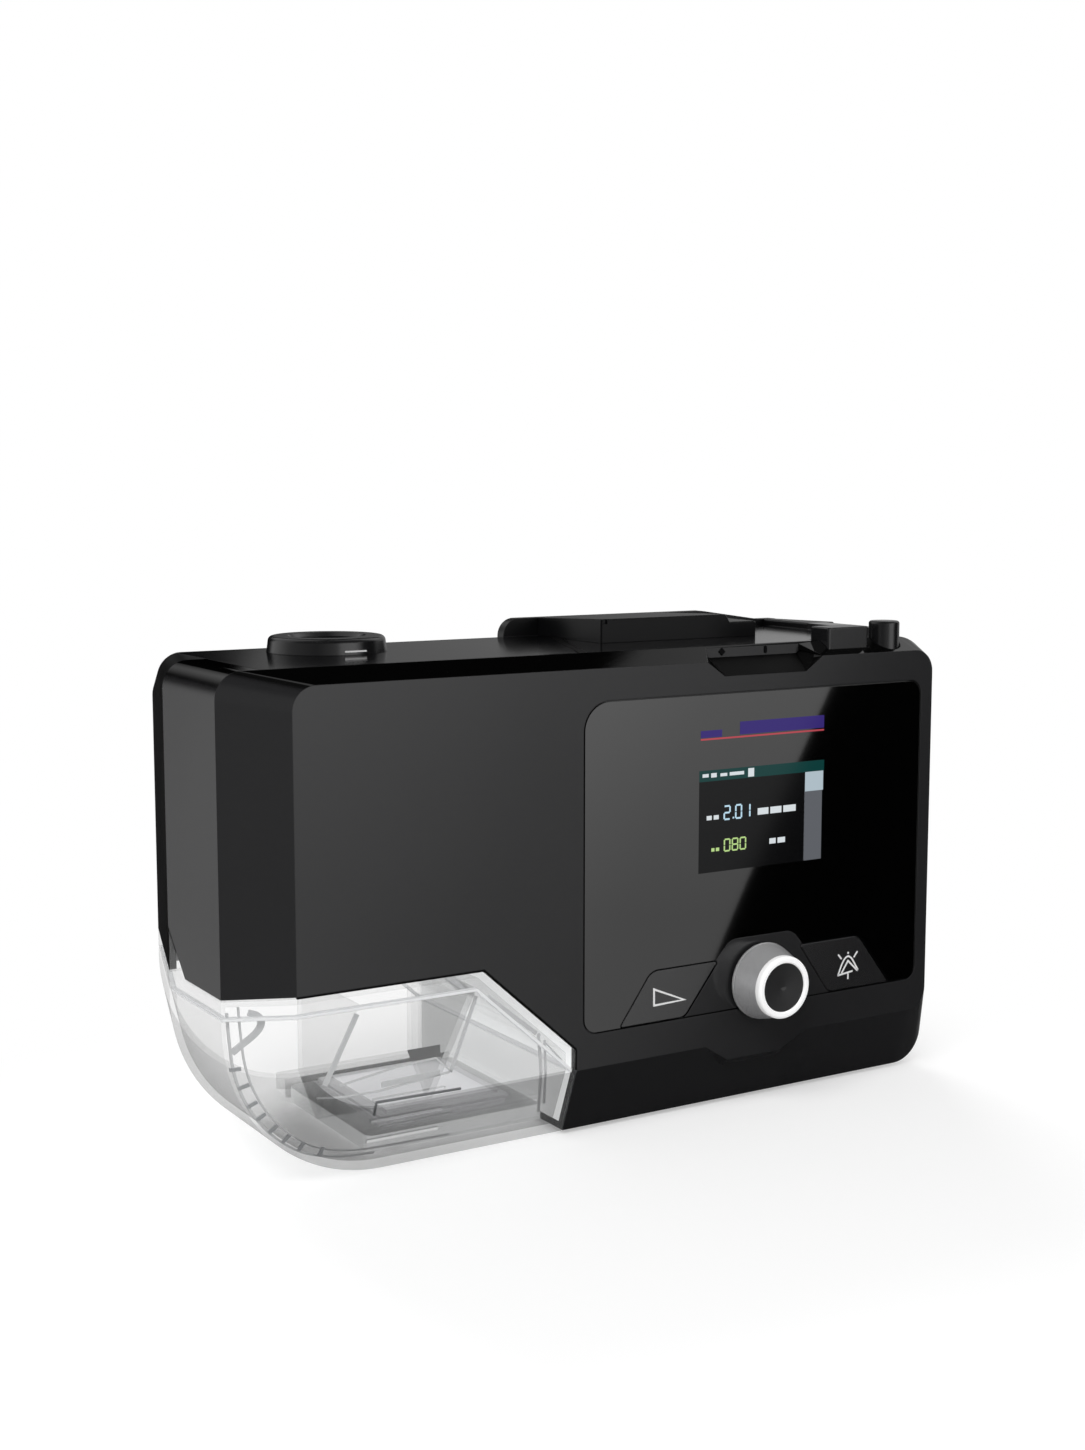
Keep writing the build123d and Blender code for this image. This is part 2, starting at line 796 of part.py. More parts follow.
# ------------------------------------------------------------------ liner of the tank bay and heater
plate_centre = tongue_x[0] + tongue_margin + hot_plate_length / 2
hot_x = (plate_centre - hot_plate_length / 2, plate_centre + hot_plate_length / 2)
hot_y = (y_middle - hot_plate_width / 2, y_middle + hot_plate_width / 2)
z_tongue = z_low + tongue_height
z_hot = z_tongue + hot_plate_thick
spring_x = (hot_x[0] + spring_inset, hot_x[1] - spring_inset)
spring_y = (hot_y[0] + spring_inset, hot_y[1] - spring_inset)
seal_end_x = tank_right + seal_length
spring_places = [(x, y) for x in spring_x for y in spring_y]


def port_rod(radius, x, mode=Mode.ADD):
    """Round bar along X through the tank's side port, between two places."""
    with Locations(Location(((x[0] + x[1]) / 2, port_y, port_z), (0, 90, 0))):
        Cylinder(radius, x[1] - x[0], mode=mode)


with BuildPart() as bay_liner:
    add(liner_form)
    add(bay_cut, mode=Mode.SUBTRACT)
    add(inner_form, mode=Mode.INTERSECT)
    add(ear_cut, mode=Mode.SUBTRACT)
    port_rod(port_radius + duct_wall, (tank_shoulder, seal_end_x), mode=Mode.SUBTRACT)
    post(outlet_x, outlet_y, duct_radius, (z_roof - 1.0, z_roof + 8.0), mode=Mode.SUBTRACT)
save(bay_liner.part, "bay_liner")

with BuildPart() as heater_base:
    brick(tongue_x, tongue_y, (z_low, z_tongue))
    fillet(heater_base.edges().filter_by(Axis.Z).group_by(Axis.X)[0], 3.0)
    for x, y in tongue_feet:
        post(x, y, foot_radius, (z_low - 1.0, z_low + foot_sunk), mode=Mode.SUBTRACT)
    for x, y in spring_places:
        post(x, y, spring_radius + seat_gap, (z_tongue - spring_well, z_tongue + 1.0), mode=Mode.SUBTRACT)
save(heater_base.part, "heater_base")

with BuildPart() as heater_plate:
    with BuildSketch(Plane.XY.offset(z_tongue)):
        with Locations(((hot_x[0] + hot_x[1]) / 2, y_middle)):
            RectangleRounded(hot_plate_length, hot_plate_width, 4.0)
    extrude(amount=hot_plate_thick)
    fillet(heater_plate.faces().sort_by(Axis.Z)[-1].edges(), 0.5)
save(heater_plate.part, "heater_plate")

turn_height = spring_well / spring_turns

with BuildPart() as heater_springs:
    for x, y in spring_places:
        for turn in range(spring_turns):
            middle = z_tongue - spring_well + (turn + 0.5) * turn_height
            with Locations((x, y, middle)):
                Cylinder(spring_radius, turn_height * 0.45)
                Cylinder(spring_radius * 0.8, turn_height)
        post(x, y, spring_radius * 0.6, (z_tongue - spring_well, z_tongue), mode=Mode.SUBTRACT)
save(heater_springs.part, "heater_springs")

# ------------------------------------------------------------------ water tank
z_under_floor = z_hot + move_gap
z_floor = z_under_floor + tank_wall
slope = (tank_step - tank_height) / tank_slope_run
slope_stretch = (1.0 + slope**2) ** 0.5


def under_lid(drop):
    """Everything below a line that runs a set distance inside the tank's roof and slope."""
    fall = drop * slope_stretch
    bend = tank_shoulder + (fall - drop) / slope
    right = tank_right + tank_wall
    with BuildPart() as prism:
        with BuildSketch(Plane.XZ):
            with BuildLine():
                Polyline(
                    (-far, -far),
                    (right, -far),
                    (right, z_roof - drop + slope * (right - bend)),
                    (bend, z_roof - drop),
                    (-far, z_roof - drop),
                    close=True,
                )
            make_face()
        extrude(amount=2 * depth, both=True)
    return prism.part


def tongue_room(gap, top, mode):
    """Tunnel under the tank's floor that the heater tongue fills."""
    brick(
        (tongue_x[0] - gap, tank_right + tank_wall),
        (tongue_y[0] - gap, tongue_y[1] + gap),
        (z_low - tank_wall, top),
        mode=mode,
    )


with BuildPart() as tank_void:
    add(body_form(tank_wall, tank_wall, tank_wall))
    add(bay_prism(-tank_wall), mode=Mode.INTERSECT)
    tongue_room(move_gap * 2 + tank_wall, z_floor, Mode.SUBTRACT)

with BuildPart() as tank_form:
    add(outer_form)
    add(bay_prism(), mode=Mode.INTERSECT)

with BuildPart() as gasket_room:
    add(body_form(gasket_inset, gasket_inset, gasket_inset))
    add(bay_prism(-gasket_inset), mode=Mode.INTERSECT)

shell_top = under_lid(lid_depth + gasket_depth)
lid_bottom = under_lid(lid_depth)
rib_x = (tank_shoulder - 1.5 * rib_length, tank_shoulder - 0.5 * rib_length)
rib_steps = [z_low + rib_low + step * rib_pitch for step in range(3)]

with BuildPart() as tank_shell:
    add(tank_form.part)
    add(shell_top, mode=Mode.INTERSECT)
    add(tank_void.part, mode=Mode.SUBTRACT)
    tongue_room(move_gap * 2, z_under_floor, Mode.SUBTRACT)
    brick(
        (hot_x[0] - seat_gap, hot_x[1] + seat_gap),
        (hot_y[0] - seat_gap, hot_y[1] + seat_gap),
        (z_under_floor, z_under_floor + tank_plate_thick),
        mode=Mode.SUBTRACT,
    )
    brick(
        (hot_x[0] + 3.0, hot_x[1] - 3.0),
        (hot_y[0] + 3.0, hot_y[1] - 3.0),
        (z_under_floor, z_floor + 1.0),
        mode=Mode.SUBTRACT,
    )
    for step in rib_steps:
        slant = front_bevel * max(0.0, 1.0 - (step - z_low) / skirt_height)
        rib_y = y_front + slant + tank_wall
        brick(rib_x, (rib_y - rib_reach, rib_y + rib_reach), (step - rib_thick / 2, step + rib_thick / 2))
save(tank_shell.part, "tank_shell")

with BuildPart() as tank_lid:
    add(tank_form.part)
    add(ear_prism())
    add(outer_form, mode=Mode.INTERSECT)
    add(lid_bottom, mode=Mode.SUBTRACT)
    add(tank_void.part, mode=Mode.SUBTRACT)
    port_rod(port_radius, (tank_shoulder - 10.0, seal_end_x), mode=Mode.SUBTRACT)
    post(outlet_x, outlet_y, duct_bore, (z_roof - lid_depth, z_roof + 1.0), mode=Mode.SUBTRACT)
save(tank_lid.part, "tank_lid")

with BuildPart() as tank_gasket:
    add(gasket_room.part)
    add(lid_bottom, mode=Mode.INTERSECT)
    add(shell_top, mode=Mode.SUBTRACT)
    add(tank_void.part, mode=Mode.SUBTRACT)
save(tank_gasket.part, "tank_gasket")

with BuildPart() as tank_plate:
    brick(hot_x, hot_y, (z_under_floor, z_under_floor + tank_plate_thick))
    fillet(tank_plate.edges().filter_by(Axis.Z), 1.0)
save(tank_plate.part, "tank_plate")

baffle_x = (tank_shoulder - baffle_length, tank_shoulder)
baffle_top = z_roof - lid_depth - gasket_depth
baffle_foot_y = y_front + baffle_foot_back
baffle_head_y = y_front + 2 * tank_wall

with BuildPart() as tank_baffle:
    with BuildSketch(Plane.YZ.offset(baffle_x[0])):
        with BuildLine():
            Polyline(
                (baffle_head_y, baffle_top),
                (baffle_head_y + baffle_thick, baffle_top),
                (baffle_foot_y + baffle_thick, z_floor),
                (baffle_foot_y, z_floor),
                close=True,
            )
        make_face()
    extrude(amount=baffle_x[1] - baffle_x[0])
    for x in (baffle_x[0], baffle_x[1] - baffle_thick):
        with BuildSketch(Plane.YZ.offset(x)):
            with BuildLine():
                Polyline(
                    (baffle_head_y, baffle_top),
                    (baffle_foot_y + baffle_cheek, baffle_top),
                    (baffle_foot_y + baffle_cheek, z_floor + baffle_cheek_rise),
                    (baffle_foot_y + baffle_thick, z_floor),
                    (baffle_foot_y, z_floor),
                    close=True,
                )
            make_face()
        extrude(amount=baffle_thick)
save(tank_baffle.part, "tank_baffle")

# ------------------------------------------------------------------ seals and ducts round the tank
seal_lip = tank_gap / 3

with BuildPart() as inlet_seal:
    port_rod(port_radius + duct_wall, (tank_shoulder, seal_end_x))
    port_rod(port_radius, (tank_shoulder - 1.0, seal_end_x + 1.0), mode=Mode.SUBTRACT)
    add(bay_prism(seal_lip), mode=Mode.SUBTRACT)
save(inlet_seal.part, "inlet_seal")

z_seal_top = z_roof + tank_gap + liner_wall + 3.0

with BuildPart() as outlet_seal:
    post(outlet_x, outlet_y, duct_radius, (z_roof + seal_lip, z_seal_top))
    post(outlet_x, outlet_y, duct_bore, (z_roof, z_seal_top), mode=Mode.SUBTRACT)
save(outlet_seal.part, "outlet_seal")

z_collar_foot = z_top + outlet_tall - outlet_depth

with BuildPart() as outlet_duct:
    post(outlet_x, outlet_y, duct_bore + duct_wall, (z_seal_top, z_collar_foot))
    post(outlet_x, outlet_y, duct_radius, (z_seal_top, z_seal_top + flange_thick))
    post(outlet_x, outlet_y, duct_radius, (z_collar_foot - flange_thick, z_collar_foot))
    post(outlet_x, outlet_y, duct_bore, (z_seal_top, z_collar_foot), mode=Mode.SUBTRACT)
save(outlet_duct.part, "outlet_duct")

with BuildPart() as outlet_collar:
    with BuildSketch(Plane((outlet_x, outlet_y, 0), (1, 0, 0), (0, -1, 0))) as profile:
        with BuildLine():
            Polyline(
                (outlet_bore, z_collar_foot),
                (duct_radius, z_collar_foot),
                (duct_radius, z_top),
                (outlet_radius, z_top),
                (outlet_top_radius, z_top + outlet_tall),
                (outlet_bore + outlet_chamfer, z_top + outlet_tall),
                (outlet_bore, z_top + outlet_tall - outlet_chamfer),
                close=True,
            )
        make_face()
        rim = profile.vertices().sort_by_distance((outlet_top_radius, z_top + outlet_tall))[0]
        fillet(rim, 1.6)
    revolve(axis=Axis((outlet_x, outlet_y, 0), (0, 0, 1)))
save(outlet_collar.part, "outlet_collar")

# ------------------------------------------------------------------ top plates and module cover
with BuildPart() as top_plate_left:
    extrude(inlay_outline(True), amount=-inlay_thick)
    post(outlet_x, outlet_y, duct_radius + seat_gap, (z_top - wall, z_top + 1.0), mode=Mode.SUBTRACT)
save(top_plate_left.part, "top_plate_left")

with BuildPart() as top_plate_right:
    extrude(inlay_outline(False), amount=-inlay_thick)
    brick(
        (box_x[0] - move_gap, box_x[1] + move_gap),
        (box_y[0] - move_gap, box_y[1] + move_gap),
        (z_top - wall, z_top + 1.0),
        mode=Mode.SUBTRACT,
    )
    post(round_x, round_y, round_hole_radius, (z_top - wall, z_top + 1.0), mode=Mode.SUBTRACT)
save(top_plate_right.part, "top_plate_right")

with BuildPart() as module_cover:
    with BuildSketch(Plane.XZ.offset(-module_y[0])):
        with BuildLine():
            FilletPolyline(
                (module_x[0], z_top),
                (module_x[1], z_top),
                (module_x[1], z_top + module_tall - module_step),
                (module_x[1] - module_step_length, z_top + module_tall - module_step),
                (module_x[1] - module_step_length - module_step_slant, z_top + module_tall),
                (module_x[0], z_top + module_tall),
                radius=[0, 0, 0.8, 0.8, 0.8, 0.6],
                close=True,
            )
        make_face()
    extrude(amount=-(module_y[1] - module_y[0]))
    front_edges = module_cover.edges().group_by(Axis.Y)[0]
    chamfer(front_edges.filter_by(lambda edge: edge.center().Z > z_top + 1.0), 0.4)
    with BuildSketch(Plane.YZ.offset(module_x[0] - 1.0)):
        with BuildLine():
            Polyline(
                (module_y[0] + 1.0, z_top + module_tall),
                (module_y[1] + 1.0, z_top + ridge_tall),
                (module_y[1] + 1.0, z_top + module_tall + 1.0),
                (module_y[0] + 1.0, z_top + module_tall + 1.0),
                close=True,
            )
        make_face()
    extrude(amount=module_length + 2.0, mode=Mode.SUBTRACT)
    with Locations((module_x[0] + module_notch, module_y[0], z_top + module_tall)):
        Box(module_notch, module_notch, 2 * module_notch, mode=Mode.SUBTRACT)
save(module_cover.part, "module_cover")

# ------------------------------------------------------------------ front panel
with BuildPart() as front_glass:
    extrude(glass_outline, amount=-glass_thick)
    for control in (collar_outline, ramp_recess, mute_recess):
        extrude(control, amount=-glass_thick, mode=Mode.SUBTRACT)
save(front_glass.part, "front_glass")

with BuildPart() as display:
    brick(
        (screen_x - display_half_x, screen_x + display_half_x),
        (y_front + glass_thick, y_front + glass_thick + display_thick),
        (screen_z - display_half_z, screen_z + display_half_z),
    )
    brick(
        (screen_x - screen_length / 2, screen_x + screen_length / 2),
        (y_front + glass_thick, y_front + glass_thick + 0.2),
        (screen_z - screen_tall / 2, screen_z + screen_tall / 2),
        mode=Mode.SUBTRACT,
    )
save(display.part, "display")

y_stem_end = y_board - front_switch_height


def front_button(outline, stems):
    """Flat cap flush with the glass, on two round stems that reach the switches."""
    with BuildPart() as button:
        extrude(outline, amount=-button_thick)
        front_rim = button.faces().sort_by(Axis.Y)[0].edges()
        chamfer(front_rim, 0.25)
        for x in stems:
            rod(x, stem_z, stem_radius, (y_front + button_thick, y_stem_end))
    return button


ramp_button = front_button(ramp_outline, ramp_stems)
save(ramp_button.part, "ramp_button")
mute_button = front_button(mute_outline, mute_stems)
save(mute_button.part, "mute_button")

with BuildPart() as panel_board:
    brick(board_x, (y_board, y_board + panel_board_thick), board_z)
    for x in ramp_stems + mute_stems:
        brick(
            (x - switch_side / 2, x + switch_side / 2),
            (y_board - front_switch_height / 2, y_board),
            (stem_z - switch_side / 2, stem_z + switch_side / 2),
        )
        rod(x, stem_z, switch_pin_radius, (y_stem_end + button_travel + switch_clear, y_board))
    brick(
        (board_x[1] - board_margin - plug_length, board_x[1] - board_margin),
        (y_board - plug_thick, y_board),
        (board_z[0] + plug_low, board_z[0] + plug_low + plug_width),
    )
    for x, z in board_posts:
        rod(x, z, screw_radius + screw_gap, (y_board, y_board + panel_board_thick), mode=Mode.SUBTRACT)
save(panel_board.part, "panel_board")

# ------------------------------------------------------------------ knob and its encoder
y_knob = y_front - knob_gap
y_knob_face = y_front - knob_reach
y_shaft_end = y_board - encoder_floor - knob_travel - plunger_thick - 0.3
y_shaft_tip = y_knob_face + 3.4

with BuildPart() as encoder_body:
    brick(
        (knob_x - encoder_side / 2, knob_x + encoder_side / 2),
        (y_inside, y_board),
        (knob_z - encoder_side / 2, knob_z + encoder_side / 2),
    )
    rod(knob_x, knob_z, bush_radius, (y_front, y_inside))
    hole_radius = shaft_radius + shaft_gap
    rod(knob_x, knob_z, hole_radius, (y_front - 1.0, y_board - encoder_floor), mode=Mode.SUBTRACT)
save(encoder_body.part, "encoder_body")

with BuildPart() as encoder_plunger:
    rod(knob_x, knob_z, shaft_radius, (y_shaft_end, y_shaft_end + plunger_thick))
save(encoder_plunger.part, "encoder_plunger")

with BuildPart() as encoder_shaft:
    rod(knob_x, knob_z, shaft_radius, (y_shaft_tip, y_shaft_end))
    brick(
        (knob_x - shaft_radius, knob_x + shaft_radius),
        (y_shaft_tip - 1.0, y_knob - 1.0),
        (knob_z + shaft_radius - 1.2, knob_z + shaft_radius + 1.0),
        mode=Mode.SUBTRACT,
    )
save(encoder_shaft.part, "encoder_shaft")


def turned(points, arcs=()):
    """Ring turned about the knob's axis from radius and reach points; arcs names rounded corners."""
    with BuildPart() as ring:
        with BuildSketch(Plane((knob_x, 0, knob_z))) as profile:
            with BuildLine():
                Polyline(*points, close=True)
            make_face()
            for radius, reach, size in arcs:
                fillet(profile.vertices().sort_by_distance((radius, reach))[0], size)
        revolve(axis=Axis((knob_x, 0, knob_z), (0, 1, 0)))
    return ring


knob_wall = 1.8
ring_depth = 2.2
cap_drop = 0.5

knob_body = turned(
    [
        (shaft_radius, y_knob),
        (shaft_radius + 2.2, y_knob),
        (shaft_radius + 2.2, y_knob_face + 3.4),
        (knob_front_radius - knob_wall, y_knob_face + 3.4),
        (knob_base_radius - knob_wall, y_knob),
        (knob_base_radius, y_knob),
        (knob_base_radius, y_knob - 1.4),
        (knob_front_radius, y_knob_face + ring_depth),
        (knob_cap_radius, y_knob_face + ring_depth),
        (shaft_radius, y_knob_face + ring_depth),
    ],
    [(knob_base_radius, y_knob - 1.4, 0.9)],
)
save(knob_body.part, "knob_body")

knob_ring = turned(
    [
        (knob_cap_radius, y_knob_face + ring_depth),
        (knob_front_radius, y_knob_face + ring_depth),
        (knob_front_radius, y_knob_face),
        (knob_cap_radius, y_knob_face),
    ],
    [(knob_front_radius, y_knob_face, 0.9), (knob_cap_radius, y_knob_face, 0.5)],
)
save(knob_ring.part, "knob_ring")

knob_cap = turned(
    [
        (0.0, y_knob_face + ring_depth),
        (knob_cap_radius, y_knob_face + ring_depth),
        (knob_cap_radius, y_knob_face + cap_drop),
        (0.0, y_knob_face + cap_drop + 0.3),
    ]
)
save(knob_cap.part, "knob_cap")

# ------------------------------------------------------------------ buttons on the top and their board
with BuildPart() as box_button:
    brick(box_x, box_y, (z_button_foot, z_top + box_button_proud))
    fillet(box_button.edges().filter_by(Axis.Z), 0.8)
    fillet(box_button.faces().sort_by(Axis.Z)[-1].edges(), 0.5)
save(box_button.part, "box_button")

with BuildPart() as round_button:
    post(round_x, round_y, round_button_radius, (z_button_foot, z_top + round_button_proud))
    fillet(round_button.faces().sort_by(Axis.Z)[-1].edges(), 0.9)
save(round_button.part, "round_button")

with BuildPart() as top_board:
    brick(top_board_x, top_board_y, (z_top_board - board_thick, z_top_board))
    for x, y in top_switches:
        brick(
            (x - switch_side / 2, x + switch_side / 2),
            (y - switch_side / 2, y + switch_side / 2),
            (z_top_board, z_top_board + switch_height / 2),
        )
        post(x, y, switch_pin_radius, (z_top_board, z_button_foot - top_button_travel - switch_clear))
    for x, y in hanger_places:
        post(x, y, screw_radius + screw_gap, (z_top_board - board_thick, z_top_board), mode=Mode.SUBTRACT)
save(top_board.part, "top_board")

lamp_z = z_top - lamp_drop

with BuildPart() as light_window:
    with BuildSketch(Plane.XZ.offset(-(y_front + notch_depth))):
        with Locations((notch_x[0] + lamp_inset, lamp_z)):
            RegularPolygon(lamp_radius, 4, rotation=0)
        with Locations((notch_x[0] + slit_inset, lamp_z)):
            SlotOverall(slit_tall, slit_width, rotation=90)
    extrude(amount=0.3)
save(light_window.part, "light_window")

# ------------------------------------------------------------------ blower
blower_z = port_z + volute_radius - throat_height / 2 - volute_wall
y_volute_front = port_y - volute_depth / 2
y_volute_rear = port_y + volute_depth / 2
throat_x = blower_x - volute_radius - throat_length
throat_outer = throat_height + 2 * volute_wall


def volute_outline(y, skin):
    """Growing scroll with its straight throat along the bottom to the left, drawn in by a skin."""
    throat_top = throat_outer - volute_radius - skin
    start = volute_start_radius - skin
    sweep_start = math.degrees(math.asin(-throat_top / start)) + 180.0
    steps = 12
    sweep = sweep_start + 90.0
    points = []
    for step in range(steps + 1):
        angle = math.radians(sweep_start - sweep * step / steps)
        radius = start + (volute_radius - volute_start_radius) * step / steps
        points.append((blower_x + radius * math.cos(angle), blower_z + radius * math.sin(angle)))
    low = blower_z - volute_radius + skin
    with BuildSketch(Plane.XZ.offset(-y)) as outline:
        with BuildLine():
            Spline(*points, tangents=[(0.5, 0.86), (-1.0, 0.0)], tangent_scalars=[1.0, 1.0])
            Polyline(
                points[-1],
                (throat_x - skin, low),
                (throat_x - skin, blower_z + throat_top),
                points[0],
            )
        make_face()
    return outline.sketch


with BuildPart() as blower_front:
    extrude(volute_outline(y_volute_front, 0.0), amount=-(port_y - y_volute_front))
    extrude(volute_outline(y_volute_front + volute_wall, volute_wall), amount=-volute_depth, mode=Mode.SUBTRACT)
    rod(blower_x, blower_z, motor_shaft_radius + 1.0, (y_volute_front - 1.0, port_y), mode=Mode.SUBTRACT)
save(blower_front.part, "blower_front")

with BuildPart() as blower_rear:
    extrude(volute_outline(port_y, 0.0), amount=-(y_volute_rear - port_y))
    hollow = volute_outline(y_volute_front, volute_wall)
    extrude(hollow, amount=-(volute_depth - volute_wall), mode=Mode.SUBTRACT)
    rod(blower_x, blower_z, inlet_radius + volute_wall, (y_volute_rear, y_volute_rear + collar_length))
    rod(blower_x, blower_z, inlet_radius, (port_y, y_volute_rear + collar_length + 1.0), mode=Mode.SUBTRACT)
save(blower_rear.part, "blower_rear")

y_impeller = y_volute_front + volute_wall + 2.0
shroud_thick = 1.2
hub_radius = 6.0

with BuildPart() as impeller:
    rod(blower_x, blower_z, impeller_radius, (y_impeller, y_impeller + shroud_thick))
    rod(blower_x, blower_z, hub_radius, (y_impeller, y_impeller + impeller_depth - 2.0))
    with BuildSketch(Plane((blower_x, y_impeller, blower_z), (1, 0, 0), (0, 1, 0))):
        with PolarLocations(impeller_radius * 0.58, blade_count):
            Rectangle(impeller_radius * 0.74, blade_thick, rotation=32)
    extrude(amount=impeller_depth)
    rod(
        blower_x,
        blower_z,
        impeller_radius,
        (y_impeller + impeller_depth - shroud_thick, y_impeller + impeller_depth),
    )
    rod(
        blower_x,
        blower_z,
        inlet_radius - 1.0,
        (y_impeller + impeller_depth - shroud_thick, y_impeller + impeller_depth + 1.0),
        mode=Mode.SUBTRACT,
    )
    rod(blower_x, blower_z, motor_shaft_radius, (y_impeller, y_impeller + impeller_depth), mode=Mode.SUBTRACT)
save(impeller.part, "impeller")

with BuildPart() as motor:
    rod(blower_x, blower_z, motor_radius, (y_volute_front - motor_depth, y_volute_front))
    fillet(motor.edges().sort_by(Axis.Y)[0], 2.0)
    rod(blower_x, blower_z, motor_radius * 0.45, (y_volute_front - motor_depth - 2.0, y_volute_front))
    brick(
        (blower_x - 8.0, blower_x + 8.0),
        (y_volute_front - motor_depth * 0.6, y_volute_front - 4.0),
        (blower_z - motor_radius - 3.0, blower_z),
    )
    rod(
        blower_x,
        blower_z,
        motor_shaft_radius + shaft_gap,
        (y_volute_front - motor_depth * 0.8, y_volute_front + 1.0),
        mode=Mode.SUBTRACT,
    )
save(motor.part, "motor")

with BuildPart() as motor_shaft:
    rod(
        blower_x,
        blower_z,
        motor_shaft_radius,
        (y_volute_front - motor_depth * 0.8 + 0.4, y_impeller + impeller_depth - 2.0),
    )
save(motor_shaft.part, "motor_shaft")

with BuildPart() as blower_mounts:
    for x, y in mount_places:
        post(x, y, mount_radius, (z_mount, blower_z - volute_radius * 0.6))
    extrude(volute_outline(y_volute_front - 1.0, 0.0), amount=-(volute_depth + 2.0), mode=Mode.SUBTRACT)
save(blower_mounts.part, "blower_mounts")

spigot_x = (seal_end_x + throat_x) / 2
duct_half_y = volute_depth / 2
duct_half_z = throat_outer / 2

with BuildPart() as air_duct:
    brick(
        (spigot_x, throat_x),
        (port_y - duct_half_y, port_y + duct_half_y),
        (port_z - duct_half_z, port_z + duct_half_z),
    )
    brick(
        (spigot_x + duct_wall, throat_x),
        (port_y - duct_half_y + duct_wall, port_y + duct_half_y - duct_wall),
        (port_z - duct_half_z + duct_wall, port_z + duct_half_z - duct_wall),
        mode=Mode.SUBTRACT,
    )
    port_rod(port_radius + duct_wall, (seal_end_x, spigot_x))
    port_rod(port_radius, (seal_end_x, spigot_x + duct_wall), mode=Mode.SUBTRACT)
save(air_duct.part, "air_duct")

# ------------------------------------------------------------------ air inlet with its filter
y_filter = y_rear - cover_thick - seat_gap
y_housing = y_filter - filter_thick
housing_wall = 2.0

with BuildPart() as inlet_housing:
    brick(
        (filter_gap_x[0] - move_gap - housing_wall, filter_gap_x[1] + move_gap + housing_wall),
        (y_housing - housing_wall, y_rear - wall),
        (filter_gap_z[0] - move_gap - housing_wall, filter_gap_z[1] + move_gap + housing_wall),
    )
    brick(
        (filter_gap_x[0] - move_gap, filter_gap_x[1] + move_gap),
        (y_housing, y_rear),
        (filter_gap_z[0] - move_gap, filter_gap_z[1] + move_gap),
        mode=Mode.SUBTRACT,
    )
    rod(blower_x, blower_z, inlet_radius, (y_housing - 5.0, y_rear), mode=Mode.SUBTRACT)
save(inlet_housing.part, "inlet_housing")

with BuildPart() as inlet_foam:
    rod(blower_x, blower_z, inlet_radius + 8.0, (y_volute_rear, y_housing - housing_wall))
    rod(
        blower_x,
        blower_z,
        inlet_radius + volute_wall,
        (y_volute_rear - 1.0, y_volute_rear + collar_length),
        mode=Mode.SUBTRACT,
    )
    rod(blower_x, blower_z, inlet_radius, (y_volute_rear, y_housing), mode=Mode.SUBTRACT)
save(inlet_foam.part, "inlet_foam")

with BuildPart() as air_filter:
    brick(
        (filter_gap_x[0] + 0.2, filter_gap_x[1] - 0.2),
        (y_housing, y_filter),
        (filter_gap_z[0] + 0.2, filter_gap_z[1] - 0.2),
    )
    pleat_count = 14
    pleat_pitch = (filter_length - 2 * filter_frame) / pleat_count
    for pleat in range(pleat_count):
        middle = filter_x + (pleat + 0.5 - pleat_count / 2) * pleat_pitch
        brick(
            (middle - pleat_pitch * 0.25, middle + pleat_pitch * 0.25),
            (y_filter - 1.5, y_filter + 1.0),
            (filter_z - filter_tall / 2 + filter_frame, filter_z + filter_tall / 2 - filter_frame),
            mode=Mode.SUBTRACT,
        )
save(air_filter.part, "air_filter")

with BuildPart() as filter_cover:
    brick(filter_gap_x, (y_rear - cover_thick, y_rear), filter_gap_z)
    slot_pitch = (filter_tall - 4.0) / slot_count
    for slot in range(slot_count):
        middle = filter_z + (slot + 0.5 - slot_count / 2) * slot_pitch
        for side in (-1, 1):
            centre = filter_x + side * filter_length / 4
            brick(
                (centre - filter_length / 4 + 2.5, centre + filter_length / 4 - 2.5),
                (y_rear - cover_thick - 1.0, y_rear + 1.0),
                (middle - slot_height / 2, middle + slot_height / 2),
                mode=Mode.SUBTRACT,
            )
    brick(
        (filter_x - 9.0, filter_x + 9.0),
        (y_rear - 1.2, y_rear + 1.0),
        (filter_gap_z[1] - 1.8, filter_gap_z[1] + 1.0),
        mode=Mode.SUBTRACT,
    )
    fillet(filter_cover.edges().filter_by(Axis.Y).group_by(Axis.Z)[0], 1.5)
save(filter_cover.part, "filter_cover")

# ------------------------------------------------------------------ power inlet and main board
with BuildPart() as power_inlet:
    brick(
        (jack_x - jack_half, jack_x + jack_half),
        (y_rear - jack_length, y_rear),
        (jack_z - jack_half, jack_z + jack_half),
    )
    brick(
        (jack_x - jack_half - 1.5, jack_x + jack_half + 1.5),
        (y_rear - wall - 1.6, y_rear - wall),
        (jack_z - jack_half - 1.5, jack_z + jack_half + 1.5),
    )
    rod(jack_x, jack_z, jack_radius, (y_rear - jack_length + 2.0, y_rear + 1.0), mode=Mode.SUBTRACT)
    rod(jack_x, jack_z, jack_pin_radius, (y_rear - jack_length + 1.0, y_rear - 1.5))
save(power_inlet.part, "power_inlet")

z_board = z_low + board_up
main_board_x = (stand_x[0] - board_edge, stand_x[1] + board_edge)
main_board_y = (stand_y[0] - board_edge, stand_y[1] + board_edge)

